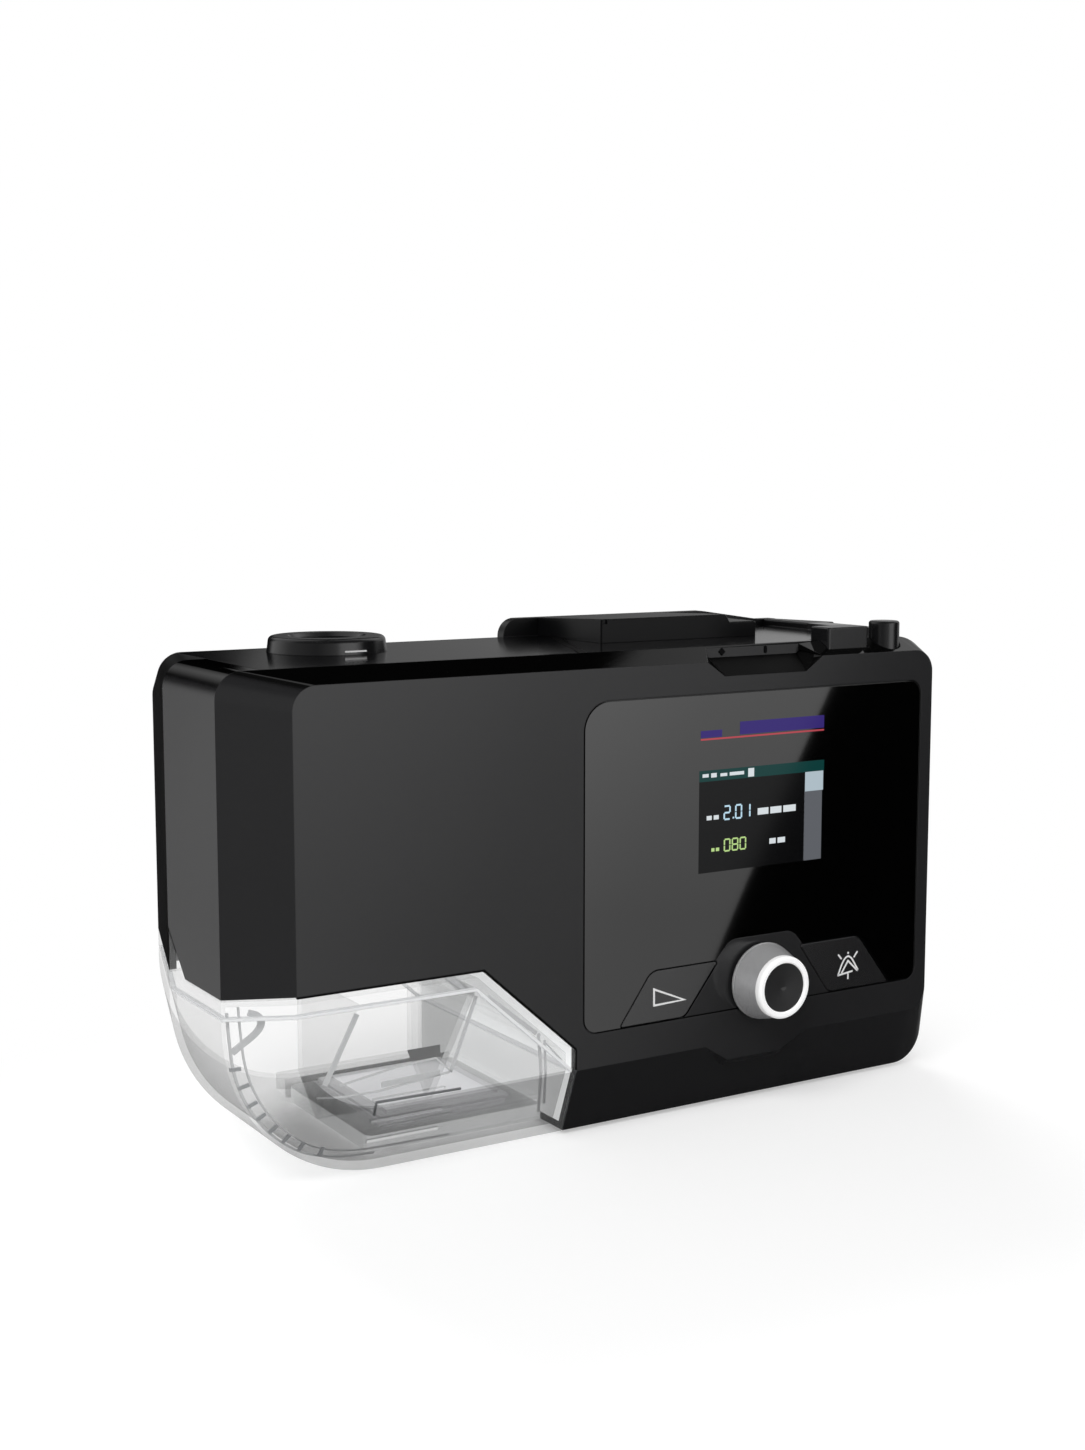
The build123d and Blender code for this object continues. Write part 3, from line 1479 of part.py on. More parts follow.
z_chips = z_board + board_thick
chip_x = (main_board_x[0] + chip_side, main_board_x[0] + 2 * chip_side)
chip_y = (main_board_y[0] + 3.0, main_board_y[0] + 3.0 + chip_side)
plug_x = (main_board_x[1] - 3 * plug_side, main_board_x[1] - 2 * plug_side)
plug_y = (main_board_y[1] - 1.0 - plug_side, main_board_y[1] - 1.0)
fan_plug_x = (plug_x[0] - 1.5 * fan_plug_length, plug_x[0] - fan_plug_length / 2)
fan_plug_y = (main_board_y[0] + 1.0, main_board_y[0] + 1.0 + plug_side / 2)
capacitor_x = main_board_x[0] + capacitor_across
capacitor_y = main_board_y[0] + 2 * capacitor_radius + 1.0

with BuildPart() as main_board:
    brick(main_board_x, main_board_y, (z_board, z_chips))
    brick(chip_x, chip_y, (z_board, z_chips + 1.2))
    brick(plug_x, plug_y, (z_board, z_chips + plug_tall))
    brick(fan_plug_x, fan_plug_y, (z_board, z_chips + fan_plug_tall))
    for x in (capacitor_x, capacitor_x + 3 * capacitor_radius):
        post(x, capacitor_y, capacitor_radius, (z_board, z_chips + capacitor_tall))
    for x, y in mount_places:
        post(x, y, post_radius + 1.0, (z_board - 1.0, z_chips + 1.0), mode=Mode.SUBTRACT)
    for x, y in board_stands:
        post(x, y, screw_radius + screw_gap, (z_board - 1.0, z_chips + 1.0), mode=Mode.SUBTRACT)
save(main_board.part, "main_board")

head_thick = 1.6
with BuildPart() as board_screws:
    y_panel_back = y_board + panel_board_thick
    for x, z in board_posts:
        rod(x, z, screw_radius, (y_inside + 1.5, y_panel_back))
        rod(x, z, screw_head_radius, (y_panel_back, y_panel_back + head_thick))
    z_hung = z_top_board - board_thick
    for x, y in hanger_places:
        post(x, y, screw_radius, (z_hung, z_inside_top - 1.0))
        post(x, y, screw_head_radius, (z_hung - head_thick, z_hung))
    for x, y in board_stands:
        post(x, y, screw_radius, (z_low + wall + 1.0, z_chips))
        post(x, y, screw_head_radius, (z_chips, z_chips + head_thick))
save(board_screws.part, "board_screws")
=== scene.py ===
"""Looks of a bedside breathing air machine with a clear slide-out water tank.

Metres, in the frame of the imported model: X runs right along the front, Y runs back, Z up.
"""

import math

import bmesh
import bpy
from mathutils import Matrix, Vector


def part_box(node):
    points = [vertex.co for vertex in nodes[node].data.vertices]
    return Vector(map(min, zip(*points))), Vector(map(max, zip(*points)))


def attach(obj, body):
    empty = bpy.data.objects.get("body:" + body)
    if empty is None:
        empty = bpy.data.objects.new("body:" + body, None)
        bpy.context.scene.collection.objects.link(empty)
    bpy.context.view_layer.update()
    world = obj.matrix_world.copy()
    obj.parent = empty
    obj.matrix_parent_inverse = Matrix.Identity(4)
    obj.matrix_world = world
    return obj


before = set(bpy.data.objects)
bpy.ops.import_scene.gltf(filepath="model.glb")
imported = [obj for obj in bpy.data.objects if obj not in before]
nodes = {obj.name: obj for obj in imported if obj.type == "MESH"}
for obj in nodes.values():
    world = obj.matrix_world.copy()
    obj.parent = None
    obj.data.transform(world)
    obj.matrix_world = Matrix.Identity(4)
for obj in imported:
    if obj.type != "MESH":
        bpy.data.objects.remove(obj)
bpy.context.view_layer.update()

MM = 0.001
WHITE = (1.0, 1.0, 1.0, 1.0)
WEAR = 38.0  # millimetres across a patch of a surface that is a little more or less worn
BLEND_A, BLEND_B, BLENDED = 6, 7, 2  # sockets of a blend of colours: its two inputs and its result


# ------------------------------------------------------------------ colours and node trees
def linear(colour):
    """Linear RGBA of an sRGB hex colour such as "#3a3a3b"."""
    values = [int(colour[i : i + 2], 16) / 255 for i in (1, 3, 5)]
    return [v / 12.92 if v <= 0.04045 else ((v + 0.055) / 1.055) ** 2.4 for v in values] + [1.0]


def add(tree, kind, settings=None, links=None):
    """One node with its settings, and its links, each given as a socket and another node's output."""
    node = tree.nodes.new(kind)
    for name, value in (settings or {}).items():
        if isinstance(name, int) or name in node.inputs:
            node.inputs[name].default_value = value
        else:
            setattr(node, name, value)
    for name, output in (links or {}).items():
        tree.links.new(output, node.inputs[name])
    return node


def blank(name):
    """New material with an empty node tree and its output node."""
    material = bpy.data.materials.new(name)
    material.use_nodes = True
    tree = material.node_tree
    tree.nodes.clear()
    return material, tree, tree.nodes.new("ShaderNodeOutputMaterial")


def grains(size, detail=2.0):
    """Settings of an even noise whose grains are size millimetres across."""
    return {"Scale": 1.0 / (size * MM), "Detail": detail, "Roughness": 0.55}


def spread(low, high):
    """Settings that map the middle of a noise to a range of numbers."""
    return {"From Min": 0.3, "From Max": 0.7, "To Min": low, "To Max": high}


def tones(first, second):
    """Settings of a blend between two sRGB hex colours."""
    return {"data_type": "RGBA", BLEND_A: linear(first), BLEND_B: linear(second)}


def relief(tree, height, depth, edge=0.0):
    """Surface normal bumped by a height map, depth in millimetres, with edges rounded by edge millimetres."""
    links = {"Height": height}
    if edge:
        rounding = add(tree, "ShaderNodeBevel", {"Radius": edge * MM, "samples": 4})
        links["Normal"] = rounding.outputs["Normal"]
    return add(tree, "ShaderNodeBump", {"Strength": 1.0, "Distance": depth * MM}, links).outputs["Normal"]


def facing(tree, axis, low, high):
    """0 where the surface's normal along an axis is under low, 1 where it is over high."""
    normal = add(tree, "ShaderNodeNewGeometry").outputs["Normal"]
    parts = add(tree, "ShaderNodeSeparateXYZ", None, {0: normal})
    ramp = {"interpolation_type": "SMOOTHSTEP", "From Min": low, "From Max": high}
    return add(tree, "ShaderNodeMapRange", ramp, {"Value": parts.outputs[axis]}).outputs["Result"]


def moulded(
    name, dark, light, rough, grain, depth,
    ior=1.53, edge=0.35, level=0.5, coat=0.0, top=None, lit=0.0, crown=1.0,
):
    """Moulded plastic, or another matt skin: two near tones, an even grain, and a little wear in its shine.

    grain and depth are the width and the height of the grain, and edge the rounding of its corners, all in
    millimetres. top is the roughness of faces that look up, and their colour, a painted shade. A painted
    glow of strength lit comes off in the surface's colour; crown is the share of its light tone on faces that
    look up.
    """
    material, tree, output = blank(name)
    where = add(tree, "ShaderNodeTexCoord").outputs["Object"]
    fine = add(tree, "ShaderNodeTexNoise", grains(grain), {"Vector": where}).outputs["Fac"]
    broad = add(tree, "ShaderNodeTexNoise", grains(WEAR, 3.0), {"Vector": where}).outputs["Fac"]
    worn = spread(rough * 0.93, rough * 1.07)
    shine = add(tree, "ShaderNodeMapRange", worn, {"Value": broad}).outputs["Result"]
    colour = add(tree, "ShaderNodeMix", tones(dark, light), {"Factor": broad}).outputs[BLENDED]
    # painted shade: faces that look up take the darker top colour, besides their polish
    if top:
        polish, painted_top_shade = top
        upward = facing(tree, "Z", 0.35, 0.6)
        links = {"Factor": upward, "A": shine}
        shine = add(tree, "ShaderNodeMix", {"data_type": "FLOAT", "B": polish}, links).outputs[0]
        links = {"Factor": upward, BLEND_A: colour}
        colour = add(tree, "ShaderNodeMix", tones(painted_top_shade, painted_top_shade), links).outputs[BLENDED]
    shader = add(
        tree,
        "ShaderNodeBsdfPrincipled",
        {"IOR": ior, "Specular IOR Level": level, "Coat Weight": coat, "Coat Roughness": 0.03},
        {"Base Color": colour, "Roughness": shine, "Normal": relief(tree, fine, depth, edge)},
    )
    # painted glow: emission in the surface's colour, and in its light tone scaled by crown on faces that look
    # up
    if lit:
        shader.inputs["Emission Strength"].default_value = lit
        left = [crown * part for part in linear(light)[:3]] + [1.0]
        links = {"Factor": facing(tree, "Z", 0.2, 0.5), BLEND_A: colour}
        painted_glow_colour = add(tree, "ShaderNodeMix", {"data_type": "RGBA", BLEND_B: left}, links)
        tree.links.new(painted_glow_colour.outputs[BLENDED], shader.inputs["Emission Color"])
    tree.links.new(shader.outputs[0], output.inputs[0])
    return material


def metal(name, dark, light, rough, grain, depth, stretch=(1.0, 1.0, 1.0), edge=0.2, metallic=1.0):
    """Worked metal: grain stretched along the tool's way, with the shine broken by it."""
    material, tree, output = blank(name)
    where = add(tree, "ShaderNodeTexCoord").outputs["Object"]
    lay = add(tree, "ShaderNodeMapping", {"Scale": stretch}, {"Vector": where})
    fine = add(tree, "ShaderNodeTexNoise", grains(grain, 3.0), {"Vector": lay.outputs[0]}).outputs["Fac"]
    shine = add(tree, "ShaderNodeMapRange", spread(rough * 0.8, rough * 1.2), {"Value": fine})
    colour = add(tree, "ShaderNodeMix", tones(dark, light), {"Factor": fine}).outputs[BLENDED]
    shader = add(
        tree,
        "ShaderNodeBsdfPrincipled",
        {"Metallic": metallic},
        {
            "Base Color": colour,
            "Roughness": shine.outputs["Result"],
            "Normal": relief(tree, fine, depth, edge),
        },
    )
    tree.links.new(shader.outputs[0], output.inputs[0])
    return material


def see_through(name, face, rim, painted_under_shade, rough, flow=40.0, depth=0.01):
    """Thin clear wall: lets light straight through, and is greyer edge on; painted shade greys it where it
    slants under.

    face and rim are its tint seen square and edge on, the third tint is the painted shade on the slanted
    front, and flow the width of the slow waves in its surface, depth their height, both in millimetres.
    """
    material, tree, output = blank(name)
    where = add(tree, "ShaderNodeTexCoord").outputs["Object"]
    waves = add(tree, "ShaderNodeTexNoise", grains(flow, 1.0), {"Vector": where}).outputs["Fac"]
    bumps = relief(tree, waves, depth, 0.5)
    turned = add(tree, "ShaderNodeLayerWeight", {"Blend": 0.35}, {"Normal": bumps}).outputs["Facing"]
    walls = add(tree, "ShaderNodeMix", tones(face, rim), {"Factor": turned}).outputs[BLENDED]
    # painted shade: the front where it slants under takes a greyer tint
    slanted = add(
        tree,
        "ShaderNodeMath",
        {"operation": "MULTIPLY"},
        {0: facing(tree, "Z", -0.2, -0.32), 1: facing(tree, "Y", -0.6, -0.75)},
    )
    under = add(tree, "ShaderNodeMix", tones(painted_under_shade, painted_under_shade), {"Factor": slanted.outputs[0], BLEND_A: walls})
    through = add(tree, "ShaderNodeBsdfTransparent", None, {"Color": under.outputs[BLENDED]})
    shine = add(tree, "ShaderNodeMapRange", spread(rough * 0.8, rough * 1.2), {"Value": waves})
    pale = add(tree, "ShaderNodeMix", tones("#f2f3f3", "#f8f8f8"), {"Factor": waves})
    body = add(
        tree,
        "ShaderNodeBsdfPrincipled",
        {"IOR": 1.57, "Coat Weight": 0.3, "Coat Roughness": 0.02},
        {"Base Color": pale.outputs[BLENDED], "Roughness": shine.outputs["Result"], "Normal": bumps},
    )
    share = add(tree, "ShaderNodeMapRange", spread(0.02, 0.2), {"Value": turned})
    links = {0: share.outputs["Result"], 1: through.outputs[0], 2: body.outputs[0]}
    both = add(tree, "ShaderNodeMixShader", None, links)
    tree.links.new(both.outputs[0], output.inputs[0])
    return material


def glow(name, colour, strength, level=0.25, spot=0.4):
    """Lit dots of a display behind a hard coat: even light over the fine rows of its dots."""
    material, tree, output = blank(name)
    where = add(tree, "ShaderNodeTexCoord").outputs["Object"]
    rows = add(tree, "ShaderNodeTexNoise", grains(spot, 0.0), {"Vector": where}).outputs["Fac"]
    dots = add(tree, "ShaderNodeMix", tones("#060607", "#0b0b0c"), {"Factor": rows}).outputs[BLENDED]
    shader = add(
        tree,
        "ShaderNodeBsdfPrincipled",
        {
            "Emission Color": linear(colour), "Emission Strength": strength,
            "Roughness": 0.06, "IOR": 1.5, "Specular IOR Level": level,
        },
        {"Base Color": dots},
    )
    tree.links.new(shader.outputs[0], output.inputs[0])
    return material


# Charcoal ABS from an eroded mould: a satin face whose grain breaks the highlights; its top land is polished,
# and painted near black as shade.
shell_abs = moulded(
    "eroded_charcoal_abs", "#222223", "#262627", 0.13, 0.45, 0.004, level=0.31, top=(0.03, "#040404"),
)
# The same plastic, unpolished, painted near black as shade in the notch and in the gap above the tank's lid;
# it also darkens the joint of the top plates.
painted_shade_abs = moulded("shaded_black_abs", "#040404", "#070707", 0.5, 0.5, 0.004, level=0.06)
# Black ABS from the same kind of mould, rougher: the rear half stays dark at a low angle.
rear_abs = moulded("matt_black_abs", "#09090a", "#0d0d0e", 0.32, 0.5, 0.006, level=0.35)
# Black ABS off a plain tool: the base, the sockets and the grille are dull.
base_abs = moulded("plain_black_abs", "#151516", "#1a1a1b", 0.5, 0.6, 0.02)
# Black ABS from a polished mould, lightly hazed by wiping: the top plates show what stands on them.
polished_abs = moulded("polished_black_abs", "#050506", "#070708", 0.12, 2.5, 0.0012)
# Raised cover: the same black off a fine spark-eroded mould, nearly free of gloss.
cover_abs = moulded("fine_black_abs", "#0c0c0d", "#101011", 0.3, 0.5, 0.003, level=0.13)
# The collar and the two top buttons: black with a satin lustre.
satin_abs = moulded("satin_black_abs", "#131314", "#181819", 0.22, 0.5, 0.003, level=0.5)
# Black acrylic sheet with a hard coat, printed on its back: deep black under a flat mirror.
panel_acrylic = moulded(
    "black_acrylic_panel", "#020202", "#030303", 0.02, 6.0, 0.0004, ior=1.62, edge=0.2, coat=1.0,
)
# Key caps in black PC with the panel's hard coat over a fine grain.
key_pc = moulded("satin_black_pc", "#19191a", "#1e1e1f", 0.18, 0.4, 0.002, ior=1.62, coat=1.0)
# The knob's sides: blasted before the chrome, so they stay pale where they face the black panel.
knob_chrome = metal("satin_chrome", "#e2e2e4", "#f4f4f5", 0.3, 0.3, 0.001, (1.0, 6.0, 1.0), metallic=0.62)
# The narrow ring at its foot: chrome brighter than the sides, a painted highlight on the lit rim of the foot.
foot_highlight_chrome = metal("foot_ring_painted_highlight", "#f2f2f3", "#fdfdfd", 0.12, 0.4, 0.001, metallic=0.6)
# The ring at the knob's front: white enamel over the metal, baked smooth, with a faint painted glow.
ring_enamel = moulded(
    "white_ring_enamel", "#f6f6f6", "#fdfdfd", 0.2, 0.4, 0.001, ior=1.6, level=0.9, lit=0.25,
)
# The knob's cap: black, finely turned.
cap_black = moulded("turned_black_cap", "#141415", "#1a1a1b", 0.32, 0.3, 0.004)
# Drawn steel of screws, springs and shafts: fine lines along the pull.
bright_steel = metal("bright_steel", "#a2a2a4", "#bcbcbe", 0.3, 0.8, 0.003, (1.0, 1.0, 6.0))
# Anodised aluminium of the two heater plates: etched first, so it is a soft, even grey with no mirror; it
# gives off a painted glow.
heater_alloy = moulded("anodised_aluminium", "#c6c6c8", "#d2d2d4", 0.45, 0.5, 0.004, level=0.6, lit=0.4)
# Zinc-coated steel of the motor's can: cloudy grey.
motor_zinc = metal("zinc_coated_steel", "#85868a", "#a0a1a6", 0.35, 1.5, 0.004)
# Water-white styrene copolymer: nearly colourless and greyer edge on; painted shade greys it where it slants
# under.
tank_san = see_through("clear_san", "#ffffff", "#eeeeee", "#dadada", 0.05)
# The lid and the baffle are thinner, with no slanted front.
lid_san = see_through("clear_san_lid", "#ffffff", "#f4f4f4", "#ffffff", 0.05)
# The same plastic in thin ribs, made opaque: their grey is painted shade for the light that runs out of their
# edges, and they give off a faint painted glow.
rib_san = moulded("clear_san_edges", "#b4b5b6", "#c4c5c6", 0.2, 3.0, 0.002, ior=1.57, edge=0.0, lit=0.2)
# Slots cut in those ribs, matt from the mill: one tone painted light, the other painted dark as shade.
slot_painted_light = moulded("slot_painted_light", "#a0a2a4", "#acaeb0", 0.4, 2.0, 0.002, edge=0.0)
slot_painted_shade = moulded("shaded_slot", "#6a6c6e", "#787a7c", 0.4, 2.0, 0.002, edge=0.0)
# Silicone: milky grey and soft at the edges, with a faint painted glow.
seal_silicone = moulded("milky_silicone", "#d6d7d8", "#e2e3e4", 0.5, 0.8, 0.01, lit=0.3)
# Moulded rubber: black, dull and slightly rough.
foot_rubber = moulded("black_rubber", "#0b0b0b", "#121212", 0.75, 0.5, 0.03)
# Pale PP whose walls give off a strong painted glow; faces that look up keep a fifth of it.
liner_pp = moulded("pale_polypropylene", "#cfd0d0", "#d8d9d9", 0.5, 0.8, 0.01, lit=0.85, crown=0.2)
# Moulded PP of ducts, blower and fan: grey with a soft sheen.
duct_pp = moulded("grey_polypropylene", "#c4c6c8", "#cfd1d3", 0.45, 0.6, 0.02)
# Solder mask over glass cloth: dark green and slightly glossy.
board_epoxy = moulded("green_board", "#0c3a22", "#12472b", 0.35, 1.2, 0.02)
# Open-celled foam: dark, with cells deep enough to see.
inlet_foam = moulded("open_foam", "#2a2a2c", "#3c3c3f", 0.95, 1.1, 0.5)
# Pressed fleece: off-white fibres, wholly matt.
filter_fleece = moulded("filter_fleece", "#dcdfdd", "#f0f2f0", 0.9, 0.7, 0.12)
# Smoked PC of the light window and the glass of the display: black until lit.
window_pc = moulded("dark_light_window", "#040405", "#060607", 0.3, 0.8, 0.001, level=0.05)
display_glass = moulded("dark_display", "#060708", "#0a0b0c", 0.12, 1.0, 0.002)
# Screen-printed ink: white, dull and thin.
white_ink = moulded("white_ink", "#e9e9e9", "#f4f4f4", 0.55, 0.15, 0.002, edge=0.0, level=0.3)
# Liquid crystal lit from behind: each colour is even, at its own strength.
screen_field = glow("screen_field", "#0a0b0c", 0.3)
screen_header = glow("screen_header", "#0f6a66", 0.28)
screen_pale = glow("screen_pale_block", "#b6c6cf", 0.9)
screen_grey = glow("screen_grey_bar", "#6b6e74", 0.75)
screen_white = glow("screen_white_mark", "#dfe6ea", 0.9)
screen_blue = glow("screen_blue_digits", "#bfe0f2", 0.95)
screen_green = glow("screen_green_digits", "#bfe08f", 0.9)
screen_violet = glow("screen_violet_bar", "#4a35a0", 0.45)
screen_rose = glow("screen_rose_line", "#d0505c", 0.7)

FINISHES = {
    shell_abs: ("front_shell",),
    rear_abs: ("rear_cover",),
    base_abs: ("base_plate", "encoder_body", "power_inlet", "filter_cover", "inlet_housing"),
    polished_abs: ("top_plate_left", "top_plate_right"),
    cover_abs: ("module_cover",),
    satin_abs: ("outlet_collar", "box_button", "round_button"),
    panel_acrylic: ("front_glass",),
    key_pc: ("ramp_button", "mute_button"),
    display_glass: ("display",),
    tank_san: ("tank_shell",),
    lid_san: ("tank_lid", "tank_baffle"),
    seal_silicone: ("tank_gasket", "inlet_seal", "outlet_seal"),
    foot_rubber: ("rubber_feet", "blower_mounts"),
    knob_chrome: ("knob_body",),
    ring_enamel: ("knob_ring",),
    cap_black: ("knob_cap",),
    bright_steel: (
        "base_screws", "board_screws", "encoder_shaft", "encoder_plunger", "motor_shaft", "heater_springs",
    ),
    heater_alloy: ("heater_plate", "tank_plate"),
    motor_zinc: ("motor",),
    liner_pp: ("bay_liner", "heater_base"),
    duct_pp: ("outlet_duct", "air_duct", "blower_front", "blower_rear", "impeller"),
    board_epoxy: ("panel_board", "top_board", "main_board"),
    inlet_foam: ("inlet_foam",),
    filter_fleece: ("air_filter",),
    window_pc: ("light_window",),
}
for material, names in FINISHES.items():
    for name in names:
        for slot in nodes[name].material_slots:
            slot.material = material

# ------------------------------------------------------------------ added pieces
FRONT = -45.7  # depth of the body's front face
INK = 0.05  # how far a printed or lit mark stands off what carries it
MERGE = 1e-6  # metres within which two corners of a copied mesh are one


def finish(name, mesh, material, body):
    """Object from a finished mesh, its faces outward, riding on a body of the machine."""
    bmesh.ops.recalc_face_normals(mesh, faces=mesh.faces)
    bmesh.ops.scale(mesh, vec=(MM, MM, MM), verts=mesh.verts)
    data = bpy.data.meshes.new(name)
    mesh.to_mesh(data)
    mesh.free()
    data.materials.append(material)
    piece = bpy.data.objects.new(name, data)
    bpy.context.scene.collection.objects.link(piece)
    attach(piece, body)
    return piece


def thicken(mesh, faces, thick):
    """Turns flat faces across Y into closed plates that reach back by a thickness."""
    walls = bmesh.ops.extrude_face_region(mesh, geom=faces)["geom"]
    moved = [part for part in walls if isinstance(part, bmesh.types.BMVert)]
    bmesh.ops.translate(mesh, vec=(0, thick, 0), verts=moved)


def plate(mesh, outline, depth, thick):
    """Closed plate from an outline in X and Z whose front lies at a depth."""
    thicken(mesh, [mesh.faces.new([mesh.verts.new((x, depth, z)) for x, z in outline])], thick)


SHARPEST_MITRE = 0.35  # keeps a sharp bend's corner within three half widths


def bar(mesh, path, width, depth, thick, closed=False):
    """Closed bar of even width along a path in X and Z, with mitred bends."""
    points = [Vector(point) for point in path]
    last = len(points) - 1
    rails = []
    for index, point in enumerate(points):
        before = points[index - 1] if closed or index else None
        after = points[(index + 1) % len(points)] if closed or index < last else None
        way_in = (point - before).normalized() if before else (after - point).normalized()
        way_out = (after - point).normalized() if after else way_in
        across = Vector((-(way_in + way_out).y, (way_in + way_out).x)).normalized()
        mitre = max(SHARPEST_MITRE, across.dot(Vector((-way_out.y, way_out.x))))
        aside = across * width / 2 / mitre
        rails.append([mesh.verts.new((side.x, depth, side.y)) for side in (point - aside, point + aside)])
    spans = len(points) if closed else last
    faces = []
    for index in range(spans):
        near, next_one = rails[index], rails[(index + 1) % len(points)]
        faces.append(mesh.faces.new((near[0], near[1], next_one[1], next_one[0])))
    thicken(mesh, faces, thick)


def rounded(path, rounds=3):
    """The same path with its corners cut off at a quarter of each run, again and again."""
    for _ in range(rounds):
        cut = [path[0]]
        for (x0, z0), (x1, z1) in zip(path, path[1:]):
            cut += [(x0 + share * (x1 - x0), z0 + share * (z1 - z0)) for share in (0.25, 0.75)]
        path = cut + [path[-1]]
    return path


# ---- picture on the screen and the two symbols on the keys
SCREEN_LEFT, SCREEN_RIGHT = 28.0, 79.2
SCREEN_LOW, SCREEN_HIGH = 81.0, 114.4
HEADER_LOW = 110.8
SCROLL_LEFT = 71.2
SEGMENTS = {"0": "abcdef", "1": "bc", "2": "abged", "8": "abcdefg"}


def rectangle(left, low, right, high):
    """Outline of an upright rectangle."""
    return [(left, low), (right, low), (right, high), (left, high)]


def lit_marks(name, outlines, material, proud=INK):
    """Lit marks on the glass, one thin plate for each outline."""
    mesh = bmesh.new()
    for outline in outlines:
        plate(mesh, outline, FRONT - proud, proud)
    return finish(name, mesh, material, "root")


def digits(name, text, left, low, wide, tall, material):
    """Plain number in seven-bar digits, whose bars are an eighth of their height thick."""
    mesh = bmesh.new()
    thick = tall * 0.13
    gap = thick / 4
    for mark in text:
        if mark == ".":
            plate(mesh, rectangle(left, low, left + thick, low + thick), FRONT - 2 * INK, INK)
            left += 2.2 * thick
            continue
        middle, right, high = low + tall / 2, left + wide, low + tall
        places = {
            "a": ((left + gap, high), (right - gap, high)),
            "b": ((right, high - gap), (right, middle + gap)),
            "c": ((right, middle - gap), (right, low + gap)),
            "d": ((left + gap, low), (right - gap, low)),
            "e": ((left, middle - gap), (left, low + gap)),
            "f": ((left, high - gap), (left, middle + gap)),
            "g": ((left + gap, middle), (right - gap, middle)),
        }
        for segment in SEGMENTS[mark]:
            bar(mesh, places[segment], thick, FRONT - 2 * INK, INK)
        left += wide + 2.0 * thick
    return finish(name, mesh, material, "root")


lit_marks("screen_field", [rectangle(SCREEN_LEFT, SCREEN_LOW, SCROLL_LEFT, HEADER_LOW)], screen_field)
lit_marks("screen_header", [rectangle(SCREEN_LEFT, HEADER_LOW, SCREEN_RIGHT, SCREEN_HIGH)], screen_header)
lit_marks("screen_scroll_block", [rectangle(SCROLL_LEFT, 104.3, 78.9, HEADER_LOW)], screen_pale)
lit_marks("screen_scroll_bar", [rectangle(SCROLL_LEFT - 0.2, SCREEN_LOW, 78.5, 104.3)], screen_grey)
lit_marks(
    "screen_violet_bar",
    [rectangle(44.0, 125.2, 78.9, 129.4), rectangle(28.4, 125.0, 36.8, 127.3)],
    screen_violet,
)
lit_marks("screen_rose_line", [rectangle(28.4, 124.2, 78.9, 124.75)], screen_rose)
lit_marks(
    "screen_header_marks",
    [
        rectangle(29.2, 112.2, 31.6, 113.3), rectangle(32.6, 112.0, 34.8, 113.4),
        rectangle(36.3, 112.1, 39.0, 113.1), rectangle(40.0, 112.1, 45.8, 113.2),
        rectangle(47.5, 111.1, 49.9, 113.9),
    ],
    screen_white,
    2 * INK,
)
lit_marks(
    "screen_label_bars",
    [
        rectangle(31.0, 98.2, 33.0, 99.6), rectangle(33.8, 98.2, 35.8, 99.6),
        rectangle(51.6, 98.2, 56.0, 100.4), rectangle(56.8, 98.2, 61.4, 100.4),
        rectangle(62.2, 98.2, 67.4, 100.4),
        rectangle(56.6, 88.1, 59.2, 89.9), rectangle(60.0, 88.1, 63.1, 89.9),
    ],
    screen_white,
    2 * INK,
)
lit_marks(
    "screen_green_bars",
    [rectangle(33.0, 87.8, 34.2, 88.9), rectangle(34.8, 87.8, 36.1, 88.9)],
    screen_green,
    2 * INK,
)
digits("screen_blue_digits", "2.01", 38.0, 97.9, 2.3, 4.3, screen_blue)
digits("screen_green_digits", "080", 38.2, 87.5, 2.2, 3.8, screen_green)

RAMP_STROKE, BELL_STROKE = 0.7, 0.6
RAMP_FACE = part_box("ramp_button")[0].y / MM
ramp_mark = bmesh.new()
bar(ramp_mark, [(10.95, 45.3), (22.75, 40.3), (11.0, 40.0)], RAMP_STROKE, RAMP_FACE - INK, INK, closed=True)
finish("ramp_mark", ramp_mark, white_ink, "ramp_key")
MUTE_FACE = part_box("mute_button")[0].y / MM
BELL = [(87.0, 39.6), (88.2, 42.6), (89.6, 45.0), (91.2, 46.0), (92.9, 45.0), (94.4, 42.6), (95.8, 40.4)]
BELL_PATHS = (
    rounded(BELL, 2),
    [(86.8, 39.6), (93.4, 40.4)],
    [(88.5, 40.2), (91.3, 44.2), (95.6, 40.2)],
    [(91.3, 47.3), (91.3, 46.6)],
    [(86.9, 46.9), (88.4, 45.2)],
    [(95.4, 47.0), (93.8, 45.1)],
    [(91.4, 39.8), (91.4, 37.8)],
)
bell_mark = bmesh.new()
for stroke in BELL_PATHS:
    bar(bell_mark, stroke, BELL_STROKE, MUTE_FACE - INK, INK)
finish("mute_mark", bell_mark, white_ink, "mute_key")

# ---- ring turned at the foot of the knob, brighter than its sides as a painted highlight
KNOB_LOW, KNOB_HIGH = (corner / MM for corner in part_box("knob_body"))
KNOB_X, KNOB_Z = (KNOB_LOW.x + KNOB_HIGH.x) / 2, (KNOB_LOW.z + KNOB_HIGH.z) / 2
KNOB_RADIUS = (KNOB_HIGH.x - KNOB_LOW.x) / 2
RING_STEPS = 64
